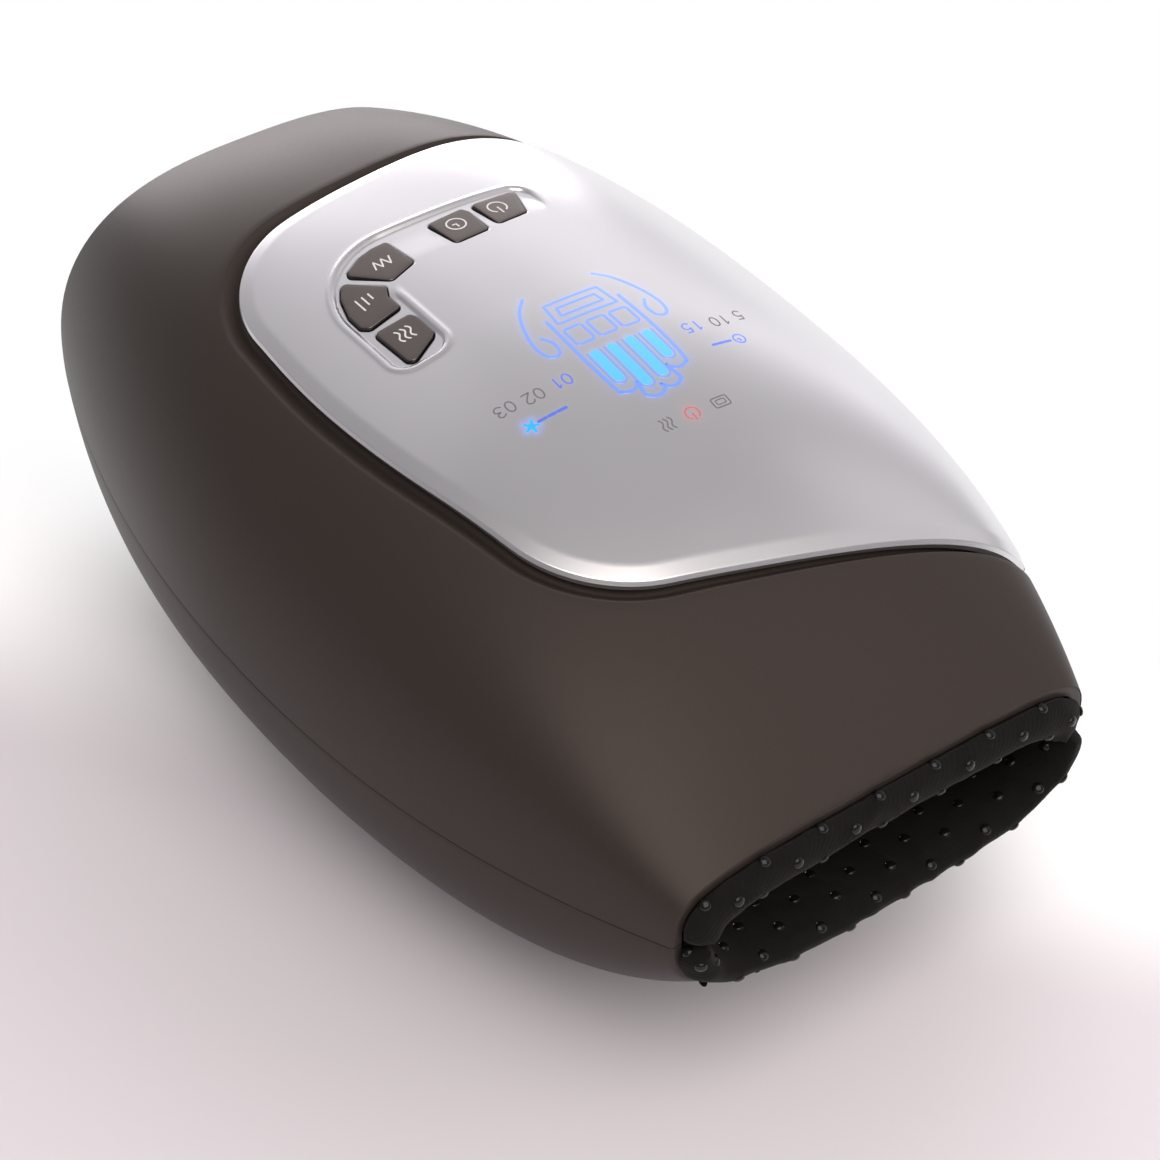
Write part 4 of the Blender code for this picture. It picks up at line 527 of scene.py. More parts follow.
def feed(node, values):
    """Set a node's settings and inputs. An input is a value or the socket that feeds it."""
    for key, value in values.items():
        if isinstance(key, str) and hasattr(node, key):
            setattr(node, key, value)
            continue
        socket = node.inputs[key.replace("_", " ") if isinstance(key, str) else key]
        if isinstance(value, bpy.types.NodeSocket):
            node.id_data.links.new(value, socket)
        else:
            socket.default_value = value


def add_node(tree, kind, *inputs, **named):
    """A new node's outputs."""
    made = tree.nodes.new("ShaderNode" + kind)
    feed(made, {**named, **dict(enumerate(inputs))})
    return made.outputs


def add_ramp(tree, source, stops):
    """A colour that follows a value through stops."""
    ramp = tree.nodes.new("ShaderNodeValToRGB")
    points = ramp.color_ramp.elements
    while len(points) < len(stops):
        points.new(0.5)
    for point, (place, colour) in zip(points, stops):
        point.position = place
        point.color = (*colour, 1.0)
    feed(ramp, {"Fac": source})
    return ramp.outputs["Color"]


def new_material(name, **values):
    """A material, its node tree and its shader."""
    material = bpy.data.materials.new(name)
    material.use_nodes = True
    shader = material.node_tree.nodes["Principled BSDF"]
    feed(shader, values)
    return material, material.node_tree, shader


def finish(name, low, high, roughness, metallic=0.0, tint=None, patches=600, grain=None, **more):
    """A finish whose colour and roughness drift between two values, with a fine grain.

    The tint is its noise's scale and detail, patches the roughness noise's scale, and the grain its
    noise's scale and detail with the bump's strength and depth.
    """
    low, high = np.broadcast_to(low, 3), np.broadcast_to(high, 3)
    material, tree, shader = new_material(name, Base_Color=(*low, 1.0), Metallic=metallic, **more)
    place = add_node(tree, "TexCoord")["Object"]

    def speckle(scale, detail):
        return add_node(tree, "TexNoise", Vector=place, Scale=scale, Detail=detail, Roughness=0.5)["Fac"]

    if tint:
        feed(shader, {"Base Color": add_ramp(tree, speckle(*tint), ((0.05, low), (0.95, high)))})
    if np.ndim(roughness):
        roughness = add_node(tree, "MapRange", speckle(patches, 3.0), 0.05, 0.95, *roughness)["Result"]
    feed(shader, {"Roughness": roughness})
    if grain:
        height = speckle(*grain[:2])
        bump = add_node(tree, "Bump", Strength=grain[2], Distance=grain[3], Height=height)["Normal"]
        feed(shader, {"Normal": bump})
    return material


def plain(name, low, high, roughness, metallic=0.0, scale=300, bump=0.15, **more):
    """A moulded or pressed finish."""
    return finish(name, low, high, (roughness * 0.85, roughness * 1.15), metallic, (scale, 3.0), scale * 2,
                  (scale * 6, 2.0, bump, 0.00008), **more)


def light_ink(name, colour, strength, surface):
    """A lit sign: silver paint that glows."""
    return finish(name, surface, surface, (0.27, 0.33), 0.88, Emission_Color=(*colour, 1.0),
                  Emission_Strength=strength)


def panel_paint():
    """Silver satin paint, lit from below in places."""
    material = finish("panel_paint", (0.755, 0.74, 0.77), (0.775, 0.76, 0.79), (0.27, 0.31), 0.88,
                      (70, 2.0), 40, Emission_Strength=1.0)
    tree = material.node_tree
    glow = add_node(tree, "Attribute", attribute_name="glow")["Color"]
    feed(tree.nodes["Principled BSDF"], {"Emission Color": glow})
    return material


def knit():
    """Black knit: fine ribs, a soft nap and a little unevenness."""
    material = finish("knit", (0.0042, 0.0036, 0.0034), (0.0075, 0.0064, 0.0062), 0.9, tint=(260, 4.0),
                      Sheen_Weight=0.08, Sheen_Roughness=0.45, Sheen_Tint=(0.5, 0.46, 0.45, 1.0),
                      Specular_IOR_Level=0.15)
    tree = material.node_tree
    place = add_node(tree, "TexCoord")["Object"]
    ribs = add_node(tree, "TexWave", Vector=place, Scale=420.0, Distortion=1.2, Detail=1.0,
                    bands_direction="DIAGONAL")["Fac"]
    nap = add_node(tree, "TexNoise", Vector=place, Scale=1500, Detail=3.0)["Fac"]
    height = add_node(tree, "Math", ribs, nap, operation="ADD")[0]
    bump = add_node(tree, "Bump", Strength=0.3, Distance=0.00016, Height=height)["Normal"]
    feed(tree.nodes["Principled BSDF"], {"Normal": bump})
    return material


SHELL_PAINT = finish("shell_paint", (0.039, 0.030, 0.0262), (0.047, 0.0362, 0.0318), (0.42, 0.47), 0.28,
                     (2600, 1.0), 900, (3200, 1.0, 0.08, 0.00004), Specular_IOR_Level=0.20)
PANEL_PAINT = panel_paint()
CAP_PAINT = finish("cap_paint", (0.145, 0.124, 0.118), (0.160, 0.138, 0.132), (0.30, 0.36), 0.75,
                   (2400, 1.0), 900)
CAP_SIDE = finish("cap_side", (0.006, 0.005, 0.006), 0, (0.12, 0.2), patches=800)
KNIT = knit()
DOT_RUBBER = plain("dot_rubber", 0.003, 0.006, 0.2, scale=500, bump=0.03, Specular_IOR_Level=0.35)
WHITE_INK = plain("white_ink", (0.60, 0.59, 0.58), (0.66, 0.65, 0.64), 0.45, scale=900, bump=0.05)
GREY_INK = plain("grey_ink", (0.13, 0.12, 0.14), (0.15, 0.14, 0.16), 0.4, scale=900, bump=0.05)
# Near-black, for the rim that paints the shade in the gap under the panel's edge
PAINTED_SHADE_RIM = plain("painted_shade_rim", (0.008, 0.007, 0.007), (0.012, 0.011, 0.011), 0.5, scale=400, bump=0.05)
BLUE_LIGHT = light_ink("blue_light", (0.04, 0.24, 1.0), 0.55, (0.40, 0.50, 0.80))
CYAN_LIGHT = light_ink("cyan_light", (0.0, 0.42, 1.0), 0.75, (0.12, 0.45, 0.75))
FILL_LIGHT = light_ink("fill_light", (0.0, 0.55, 1.0), 0.62, (0.30, 0.55, 0.75))
DEEP_LIGHT = light_ink("deep_light", (0.02, 0.12, 1.0), 0.42, (0.26, 0.34, 0.76))
RED_LIGHT = light_ink("red_light", (1.0, 0.05, 0.07), 0.34, (0.70, 0.30, 0.32))

# The finishes of the solids that are kept: two colours, roughness, metal share, noise scale and bump
SLOT_FINISHES = {
    "switch_plastic": (0.02, 0.03, 0.5),
    "circuit_board": ((0.01, 0.10, 0.04), (0.02, 0.16, 0.06), 0.35, 0.0, 700),
    "diffuser": (0.8, 0.86, 0.6),
    "bag_film": ((0.45, 0.47, 0.5), (0.55, 0.57, 0.6), 0.35, 0.0, 120),
    "heater_film": ((0.55, 0.22, 0.04), (0.65, 0.3, 0.06), 0.4, 0.0, 200),
    "frame_plastic": ((0.6, 0.6, 0.58), (0.68, 0.68, 0.66), 0.5),
    "battery_cell": ((0.02, 0.1, 0.35), (0.03, 0.14, 0.42), 0.3),
    "lead_wire": ((0.5, 0.02, 0.015), (0.6, 0.03, 0.02), 0.45),
    "silicone": (0.6, 0.7, 0.4),
    "steel": ((0.5, 0.5, 0.52), (0.62, 0.62, 0.64), 0.28, 1.0, 500),
    "rubber": (0.012, 0.02, 0.75, 0.0, 500, 0.3),
}


def finish_by_slot():
    """A finish for every solid that is kept, by its material slot."""
    finishes = {name: plain(name, *values) for name, values in SLOT_FINISHES.items()}
    finishes |= {"shell_paint": SHELL_PAINT, "panel_paint": PANEL_PAINT, "button_paint": CAP_PAINT,
                 "sleeve_fabric": KNIT}
    for entry in frame["record"]["subparts"]:
        materials = frame["nodes"][entry["node"]].data.materials
        materials.clear()
        materials.append(finishes[entry["material_slot"]])


# Outlines

def rounded_outline(corners, steps):
    """Points round a polygon with its corners as arcs, and the place of each arc's middle."""
    points = []
    middles = []
    for index, (x, y, radius) in enumerate(corners):
        here = Vector((x, y))
        before = Vector(corners[index - 1][:2])
        after = Vector(corners[(index + 1) % len(corners)][:2])
        inward = (here - before).normalized()
        outward = (after - here).normalized()
        turn = math.atan2(inward.x * outward.y - inward.y * outward.x, inward.dot(outward))
        bend = abs(math.tan(turn / 2))
        room = CORNER_ROOM_SHARE * min((here - before).length, (after - here).length)
        radius = min(radius, room / max(bend, 1e-6))
        start = here - inward * radius * bend
        centre = start + Vector((-inward.y, inward.x)) * (radius if turn > 0 else -radius)
        middles.append(len(points) + steps // 2)
        points += [centre + Matrix.Rotation(turn * number / steps, 2) @ (start - centre)
                   for number in range(steps + 1)]
    return points, middles


def spread(points, start, end, count):
    """Points along a stretch of a closed outline, closer together where it turns."""
    total = len(points)
    end = end if end > start else end + total
    stretch = [points[index % total] for index in range(start - 1, end + 1)]
    measure = [0.0]
    for before, here, after in zip(stretch, stretch[1:], stretch[2:]):
        turn = (here - before).angle(after - here, 0.0)
        measure.append(measure[-1] + (after - here).length + OUTLINE_TURN_WEIGHT * turn)
    wanted = np.linspace(0, measure[-1], count, endpoint=False)
    return np.stack([np.interp(wanted, measure, [point[axis] for point in stretch[1:]])
                     for axis in (0, 1)], axis=-1)


def outline_normals(points):
    """Outward normals of a closed outline that runs counterclockwise."""
    along = np.roll(points, -1, axis=0) - np.roll(points, 1, axis=0)
    return unit(np.stack([along[:, 1], -along[:, 0]], axis=-1))


def panel_outline():
    """The panel's edge in skin lengths, in four stretches that match the shell's four sides."""
    corners = [(across * (PANEL_RIGHT if across > 0 else PANEL_LEFT),
                along * (PANEL_FRONT if along > 0 else PANEL_REAR),
                corner * PANEL_CORNER) for across, along, corner in PANEL_CORNERS_SHARES]
    points, middles = rounded_outline(corners, 24)
    starts = [middles[index] for index in PANEL_MAIN_CORNERS]
    points = np.concatenate([spread(points, starts[index], starts[(index + 1) % 4], count)
                             for index, count in enumerate((SIDE_SPOKES, END_SPOKES) * 2)])
    for _ in range(3):
        points = points / 2 + (np.roll(points, 1, axis=0) + np.roll(points, -1, axis=0)) / 4
    return points


def shell_border():
    """The upper shell's border in skin lengths, with a point for each point of the panel's edge."""
    side = HALF_LENGTH - BODY_LENGTH * np.arange(SIDE_SPOKES) / SIDE_SPOKES
    end = 1 - 2 * np.arange(END_SPOKES) / END_SPOKES
    flat = np.ones(END_SPOKES) * HALF_LENGTH
    return np.concatenate([np.stack(pair, axis=-1) for pair in (
        (skin_reach(-side), -side), (skin_reach(HALF_LENGTH) * end, flat),
        (-skin_reach(side), side), (-skin_reach(-HALF_LENGTH) * end, -flat))])


# Shells

def channel_depth(offset):
    """How far the shell lies below the dome at a distance outside the panel's edge."""
    share = np.clip((offset - CHANNEL_FLOOR) / (CHANNEL_WIDTH - CHANNEL_FLOOR), 0, 1)
    return LEDGE_DEPTH * (1 - smooth(share))


def round_profile(radius):
    """Distances and insets along a rounded edge, from skin to end face."""
    angles = np.linspace(0, math.pi / 2, ROUND_STEPS + 1)
    return [((1 - math.sin(angle)) * radius, (1 - math.cos(angle)) * radius) for angle in angles]


def build_upper_shell():
    """The dome, with the sunken channel and the ledge round the panel. The channel narrows to the left."""
    outline = panel_outline()
    normals = outline_normals(outline)
    border = shell_border()
    across = np.clip((outline[:, :1] + PANEL_LEFT) / (PANEL_LEFT + PANEL_RIGHT), 0, None)
    shares = CHANNEL_NARROW_SHARE + (1 - CHANNEL_NARROW_SHARE) * across ** EVEN_POWER

    def ring_at(offset, room=0.0):
        return outline + normals * (offset * shares + room if offset > 0 else offset)

    rings = [skin_points(ring_at(offset), -channel_depth(offset))
             for offset in (-LEDGE_WIDTH, *np.linspace(0, CHANNEL_WIDTH, CHANNEL_RINGS))]
    shoulder = ring_at(CHANNEL_WIDTH)
    rings += [skin_points(shoulder + (border - shoulder) * math.sin(math.pi / 2 * number / DOME_RINGS))
              for number in range(1, DOME_RINGS)]
    rim = smooth((np.abs(border[:, 1]) - HALF_LENGTH) / CORNER_BLEND + 1)
    length = np.linalg.norm(border - shoulder, axis=-1)
    for distance, inset in round_profile(PARTING_ROUND + (RIM_ROUND - PARTING_ROUND) * rim):
        rings.append(inner_points(shoulder + (border - shoulder) * (1 - distance / length)[:, None], inset))
    inner = ring_at(CHANNEL_WIDTH, WALL)
    rings += [inner_points(border + (inner - border) * number / INNER_RINGS, WALL)
              for number in range(INNER_RINGS)]
    rings += [skin_points(ring_at(offset, WALL), -channel_depth(offset) - WALL)
              for offset in (CHANNEL_WIDTH, CHANNEL_FLOOR, -LEDGE_WIDTH)]
    shell = loops_object("upper_shell_skin", rings, SHELL_PAINT, sharp=SHARP_DOME, closed=True)
    return dress(shell, "housing", "shell_paint", "upper_shell")


def upright_bars(name, reach_x, reach_y, low, high, radius, sides=48):
    """Round upright bars at a rectangle's corners. The low end may depend on the place."""
    angles = np.arange(sides) * 2 * math.pi / sides
    found = []
    corners = ((-reach_x, -reach_y), (reach_x, -reach_y), (-reach_x, reach_y), (reach_x, reach_y))
    for index, (x, y) in enumerate(corners):
        foot = low(x, y) if callable(low) else low
        ring = np.stack([x + radius * np.cos(angles), y + radius * np.sin(angles)], axis=-1)
        loops = [np.column_stack([ring, np.full(sides, height)]) for height in (foot, high)]
        hubs = [(x, y, foot), (x, y, high)]
        found.append(loops_object(f"{name}_{index}", loops, SHELL_PAINT, SHARP_BAR, hubs=hubs))
    return found


def below_belly(x, y):
    """A height under the belly's outside over a point of the plan."""
    half_width, _top, parting, bottom, _roof, power = body_section(y)
    return float(parting - (parting - bottom) * (1 - (abs(x) / half_width) ** power) ** (1 / power)) - OVERRUN


def combine(target, others, operation):
    """Cut or join an object with others, which are then removed."""
    for other in others:
        change = target.modifiers.new(other.name, "BOOLEAN")
        change.operation = operation
        change.solver = "EXACT"
        change.object = other
    graph = bpy.context.evaluated_depsgraph_get()
    made = bpy.data.meshes.new_from_object(target.evaluated_get(graph))
    target.modifiers.clear()
    target.data = made
    for other in others:
        bpy.data.objects.remove(other, do_unlink=True)


def build_lower_shell():
    """The belly, with pads for the feet, screw holes and the charging slot."""
    places = [(distance - HALF_LENGTH, inset) for distance, inset in round_profile(RIM_ROUND)[:0:-1]]
    shares = np.sin(math.pi / 2 * np.linspace(-1, 1, BELLY_ROWS))
    places += [((HALF_LENGTH - RIM_ROUND) * share, 0.0) for share in shares]
    places += [(HALF_LENGTH - distance, inset) for distance, inset in round_profile(RIM_ROUND)[1:]]
    outer = []
    inner = []
    for y, rim_inset in places:
        half_width = body_section(y)[0]
        first = parting_turn(y)
        ends, end_insets = np.array(round_profile(PARTING_ROUND)[:0:-1]).T
        ends = first + ends / half_width
        last = first + PARTING_ROUND / half_width
        span = np.linspace(last, math.pi - last, BELLY_COLUMNS)
        turns = np.concatenate((ends, span, math.pi - ends[::-1]))
        insets = np.concatenate((end_insets, np.zeros(BELLY_COLUMNS), end_insets[::-1]))
        outer.append(body_points(np.full(len(turns), y), -turns, np.maximum(insets, rim_inset)))
        inner.append(body_points(np.full(len(turns), y), -turns, WALL))
    rows, columns = np.shape(outer)[:2]
    back = rows * columns
    faces = grid_faces(rows, columns)
    faces += [tuple(reversed(face)) for face in grid_faces(rows, columns, start=back)]
    edge = list(range(columns)) + [row * columns + columns - 1 for row in range(1, rows)]
    edge += [(rows - 1) * columns + column for column in range(columns - 2, -1, -1)]
    edge += [row * columns for row in range(rows - 2, 0, -1)]
    faces += [(second, first, first + back, second + back)
              for first, second in zip(edge, edge[1:] + edge[:1])]
    shell = make_object("lower_shell_skin", np.reshape(outer + inner, (-1, 3)), faces, SHELL_PAINT)
    pads = upright_bars("pad", FOOT_X, FOOT_Y, FOOT_HEIGHT + CLEARANCE, FOOT_HEIGHT + PAD_HEIGHT, PAD_RADIUS)
    seats = upright_bars("seat", SCREW_X, SCREW_Y, below_belly, SCREW_SEAT, SCREW_SEAT_RADIUS)
    combine(shell, pads, "UNION")
    combine(shell, seats + [slot_cutter()], "DIFFERENCE")
    shell.data.shade_smooth()
    shell.data.set_sharp_from_angle(angle=math.radians(SHARP_BELLY))
    return dress(shell, "housing", "shell_paint", "lower_shell")


def slot_cutter():
    """A cutter with round ends through the shell for the charging plug."""
    low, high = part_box("charge_socket")
    reach = (high.z - low.z) / 2 + CLEARANCE
    height = (high.z + low.z) / 2
    half = (high.y - low.y) / 2 + CLEARANCE - reach
    middle = (high.y + low.y) / 2
    angles = np.linspace(0, 2 * math.pi, 40, endpoint=False)
    y = middle + np.sign(np.cos(angles)) * half + reach * np.cos(angles)
    z = height + reach * np.sin(angles)
    ends = (-HALF_WIDTH - OVERRUN, low.x + 2 * WALL)
    loops = [np.column_stack([np.full(len(angles), x), y, z]) for x in ends]
    return loops_object("slot_cutter", loops, SHELL_PAINT, hubs=[(x, middle, height) for x in ends])


# Control panel

def strip_side(at):
    """Distance from the middle of the button strip, positive on its outer side."""
    x, y = at[..., 0], at[..., 1]
    bend_x = STRIP_RIGHT - STRIP_BEND_RADIUS
    bend_y = STRIP_BEND_RADIUS - STRIP_REAR
    round_part = np.hypot(x - bend_x, y - bend_y) - STRIP_BEND_RADIUS
    straight_part = np.maximum(-(y + STRIP_REAR), x - STRIP_RIGHT)
    return np.where((x > bend_x) & (y < bend_y), round_part, straight_part)


def strip_edge(at):
    """Distance outside the strip's edge, negative inside it."""
    side = np.abs(strip_side(at)) - STRIP_HALF_WIDTH + STRIP_CORNER
    end = np.maximum(-STRIP_LEFT - at[..., 0], at[..., 1] + STRIP_FRONT) + STRIP_CORNER
    outside = np.hypot(np.maximum(side, 0), np.maximum(end, 0))
    return outside + np.minimum(np.maximum(side, end), 0) - STRIP_CORNER


def strip_lift(at):
    """The panel's lift over the dome with the sunken strip and the bead along its edge."""
    edge = strip_edge(at)
    fade = smooth((strip_side(at) + STRIP_HALF_WIDTH) / STRIP_FADE)
    crease = smooth((at[..., 1] - STRIP_CREASE_START) / STRIP_CREASE_RUN)
    crease = crease * (at[..., 0] > STRIP_RIGHT - 2 * STRIP_HALF_WIDTH)
    strength = fade + (1 - fade) * crease
    depth = STRIP_DEPTH * smooth(-edge / STRIP_WALL) * strength
    bead = STRIP_BEAD * np.exp(-((edge - STRIP_BEAD_PLACE) / STRIP_BEAD_WIDTH) ** 2) * strength
    return PANEL_LIFT - depth + bead


def button_outline(name, outset=0.0):
    """A button's outline in plan, grown by an outset."""
    centre, corners = (np.array(shares) * BUTTON_SIZE for shares in BUTTONS_SHARES[name])
    order = (np.array(Vector(centre)) + corners).tolist()
    if sum(a[0] * b[1] - b[0] * a[1] for a, b in zip(order, order[1:] + order[:1])) < 0:
        order.reverse()
    points = np.array(rounded_outline([(x, y, BUTTON_CORNER) for x, y in order], 8)[0])
    return points + outline_normals(points) * outset


def inside(points, polygon):
    """Which places in plan lie inside a polygon."""
    x, y = points[:, 0], points[:, 1]
    found = np.zeros(len(points), bool)
    for (ax, ay), (bx, by) in zip(polygon, np.roll(polygon, -1, axis=0)):
        crosses = (ay > y) != (by > y)
        if crosses.any():
            found ^= crosses & (x < (bx - ax) * (y - ay) / (by - ay + 1e-15) + ax)
    return found


def fill_points(polygon, step, keep):
    """Places of a staggered grid inside a polygon, where keep says so."""
    low = polygon.min(axis=0)
    high = polygon.max(axis=0)
    found = []
    for index, y in enumerate(np.arange(low[1], high[1], step * math.sqrt(3) / 2)):
        x = np.arange(low[0] + step / 2 * (index % 2), high[0], step)
        found.append(np.stack([x, np.full(len(x), y)], axis=-1))
    found = np.concatenate(found)
    found = found[inside(found, polygon)]
    return found[keep(found)]


def in_display(at):
    """Which places lie in the display's field."""
    return np.all((at > DISPLAY_LOW) & (at < DISPLAY_HIGH), axis=-1)


def panel_levels():
    """The panel's rings as insets, lifts and outward tilts, from the foot of its side band to its face."""
    edge_lift = PANEL_LIFT - PANEL_CHAMFER_DROP
    slope = PANEL_CHAMFER_DROP / PANEL_CHAMFER
    rounded = [(PANEL_EDGE_ROUND * (1 - math.cos(angle)) - PANEL_EDGE_GROWTH,
                edge_lift - PANEL_EDGE_ROUND * (1 - math.sin(angle)), 1 / math.tan(angle))
               for angle in np.radians(PANEL_EDGE_ANGLES)]
    inset, lift, _tilt = rounded[0]
    bands = [share * PANEL_EDGE_BAND for share in PANEL_BAND_SHARES]
    levels = [(inset - band, lift - PANEL_BAND_SLOPE * band, PANEL_BAND_SLOPE) for band in bands] + rounded
    levels.append((PANEL_EDGE_ROUND - PANEL_EDGE_GROWTH, edge_lift + PANEL_EDGE_ROUND * slope / 2, slope))
    levels += [(inset, edge_lift + inset * slope, slope) for inset in PANEL_CHAMFER_INSETS]
    levels += [(PANEL_CHAMFER - CHAMFER_ROUND + 2 * CHAMFER_ROUND * share,
                PANEL_LIFT - slope * CHAMFER_ROUND * (1 - share) ** 2, slope * (1 - share))
               for share in np.linspace(0, 1, 5)]
    return levels + [(PANEL_CHAMFER + 3 * CHAMFER_ROUND, PANEL_LIFT, 0.0)]


def build_panel(lit_lines):
    """The silver cover: chamfered edge, sunken strip, button holes, and light spread round the signs."""
    outline = panel_outline()
    normals = outline_normals(outline)
    parts = []
    for inset, lift, tilt in panel_levels():
        ring = skin_points(outline - normals * inset)[:, :2]
        parts.append((ring, np.full(len(ring), lift), outline_normals(ring) * tilt))
    outer, inner = parts[0][0], parts[-1][0]
    for name in BUTTONS_SHARES:
        for outset, drop, tilt in HOLE_LEVELS:
            ring = button_outline(name, outset)
            parts.append((ring, strip_lift(ring) - drop, outline_normals(ring) * tilt))
    edges = []
    start = 0
    for ring, _lift, _tilt in parts:
        count = len(ring)
        edges += [(start + index, start + (index + 1) % count) for index in range(count)]
        start += count
    surrounds = [button_outline(name, HOLE_SURROUND) for name in BUTTONS_SHARES]

    def by_strip(at):
        return (strip_edge(at) < STRIP_SURROUND) & ~np.any([inside(at, ring) for ring in surrounds], axis=0)

    def on_display(at):
        return in_display(at) & (strip_edge(at) >= STRIP_SURROUND)

    def elsewhere(at):
        return ~in_display(at) & (strip_edge(at) >= STRIP_SURROUND)

    core = inner - outline_normals(inner) * NET_MARGIN
    for step, keep in ((STRIP_STEP, by_strip), (DISPLAY_STEP, on_display), (PANEL_STEP, elsewhere)):
        grid = fill_points(core, step, keep)
        parts.append((grid, strip_lift(grid), np.zeros_like(grid)))
    points, lifts, tilts = (np.concatenate(part) for part in zip(*parts))
    net = delaunay_2d_cdt([Vector(point) for point in points * NET_SCALE], edges, [], 0, 1e-6)
    places = np.array([tuple(vert) for vert in net[0]]) / NET_SCALE
    order = np.array([origin[0] if len(origin) else -1 for origin in net[3]])
    lift = np.where(order >= 0, lifts[order], strip_lift(places))
    tilt = np.where((order >= 0)[:, None], tilts[order], 0.0)
    faces = np.array(net[2])
    centres = places[faces].mean(axis=1)
    keep = inside(centres, outer)
    for name in BUTTONS_SHARES:
        keep &= ~inside(centres, button_outline(name, BUTTON_GAP))
    return finish_panel(places, faces[keep], lift, tilt, lit_lines)


def finish_panel(places, faces, lift, tilt, lit_lines):
    """The panel's solid from its flat net, with exact normals on its face."""
    top = plan_points(places, lift)
    both = np.concatenate((top, plan_points(places, lift - PANEL_THICKNESS)))
    bend = tilt - slopes(strip_lift, places, STRIP_PROBE)
    normal = plan_normals(places)
    face_normals = unit(normal + np.column_stack([bend, np.zeros(len(bend))]))
    down = np.cross(top[faces[:, 1]] - top[faces[:, 0]], top[faces[:, 2]] - top[faces[:, 0]])[:, 2] < 0
    faces[down] = faces[down][:, ::-1]
    sides = {pair: True for a, b, c in faces.tolist() for pair in ((a, b), (b, c), (c, a))}
    rim = [pair for pair in sides if pair[::-1] not in sides]
    count = len(top)
    solid = faces.tolist() + (faces[:, ::-1] + count).tolist()
    solid += [(b, a, a + count, b + count) for a, b in rim]
    panel = make_object("control_panel_skin", both, solid, PANEL_PAINT, closed=False)
    mesh = panel.data
    corner_vertex = np.zeros(len(mesh.loops), int)
    mesh.loops.foreach_get("vertex_index", corner_vertex)
    loop_normals = np.concatenate((face_normals, -normal))[corner_vertex]
    at = 6 * len(faces)
    for a, b in rim:
        loop_normals[at:at + 4] = unit(np.cross(both[a] - both[b], both[a + count] - both[b]))
        at += 4
    mesh.normals_split_custom_set(loop_normals.tolist())
    glow = mesh.attributes.new("glow", "FLOAT_COLOR", "POINT")
    colours = np.zeros((2 * count, 4))
    colours[:, 3] = 1
    spots = np.nonzero(in_display(places))[0]
    for line, colour, reach, strength in lit_lines:
        apart = np.linalg.norm(places[spots][:, None, :] - line[None, :, :], axis=-1).min(axis=1)
        light = strength * np.exp(-(apart / reach) ** 2)
        colours[spots, :3] = np.maximum(colours[spots, :3], light[:, None] * np.array(colour))
    glow.data.foreach_set("color", colours.astype(np.float32).ravel())
    return dress(panel, "housing", "panel_paint", "control_panel")


def build_panel_trim():
    """A near-black rim under the panel's edge, set back from it, as painted shade in the gap round the panel,
    and small silver clips that reach down.
    """
    outline = panel_outline()
    normals = outline_normals(outline)
    loops = [skin_points(outline - normals * inset, lift) for inset, lift in SHADE_RIM_LEVELS]
    # The near-black rim is painted shade in the gap under the panel's edge
    dress(loops_object("panel_shade_rim", loops, PAINTED_SHADE_RIM, SHARP_TRIM, closed=True), "housing", "switch_plastic")
    for index, place in enumerate(CLIP_PLACES):
        nearest = outline[np.argmin(np.linalg.norm(outline - place, axis=-1))]
        near = np.linalg.norm(outline - nearest, axis=-1) < CLIP_LENGTH / 2
        loops = np.stack([skin_points((outline - normals * inset)[near], lift)
                          for inset, lift in CLIP_LEVELS], axis=1)
        hubs = [loops[0].mean(axis=0), loops[-1].mean(axis=0)]
        clip = loops_object(f"panel_clip_{index}", loops, PANEL_PAINT, SHARP_TRIM, hubs=hubs)
        dress(clip, "housing", "panel_paint")


# Strokes: thin raised signs. Each line is points, width and whether it is closed

def stroke_sides(points, width, closed):
    """Left and right edges along a line, with round ends on an open one."""
    points = np.asarray(points, float)
    half = np.full(len(points), width / 2)
    if closed:
        along = unit(np.roll(points, -1, axis=0) - np.roll(points, 1, axis=0))
    else:
        along = unit(np.gradient(points, axis=0))
        shares = np.array([0.95, 0.75, 0.4])
        widths = width / 2 * np.sqrt(1 - shares ** 2)
        start = points[0] - along[0] * shares[:, None] * width / 2
        end = points[-1] + along[-1] * shares[::-1, None] * width / 2
        points = np.concatenate((start, points, end))
        along = np.concatenate((np.repeat(along[:1], 3, 0), along, np.repeat(along[-1:], 3, 0)))
        half = np.concatenate((widths, half, widths[::-1]))
    side = np.stack([-along[:, 1], along[:, 0]], axis=-1) * half[:, None]
    return points + side, points - side


def strokes_object(name, lines, place, rise, material):
    """One object of thin raised strokes, set on a surface by place."""
    points = []
    faces = []
    for line, width, closed in lines:
        left, right = stroke_sides(line, width, closed)
        rows = len(left)
        loops = np.stack([place(side, level) for side, level in (
            (left, rise), (right, rise), (right, -SIGN_SUNK), (left, -SIGN_SUNK))], axis=1)
        start = len(points)
        points += loops.reshape(-1, 3).tolist()
        faces += grid_faces(rows, 4, wrap_rows=closed, wrap_columns=True, start=start)
        if not closed:
            last = start + 4 * (rows - 1)
            faces += [tuple(range(start, start + 4)), tuple(range(last + 3, last - 1, -1))]
    return make_object(name, points, faces, material, SHARP_TRIM)


def curve_line(points):
    """A smooth line through points."""
    points = [Vector(point) for point in points]
    padded = [2 * points[0] - points[1]] + points + [2 * points[-1] - points[-2]]
    found = []
    for before, start, end, after in zip(padded, padded[1:], padded[2:], padded[3:]):
        steps = max(2, round((end - start).length / LINE_STEP))
        for share in (number / steps for number in range(steps)):
            found.append(0.5 * (2 * start + (end - before) * share
                                + (2 * before - 5 * start + 4 * end - after) * share ** 2
                                + (3 * start - before - 3 * end + after) * share ** 3))
    return np.array(found + [points[-1]])


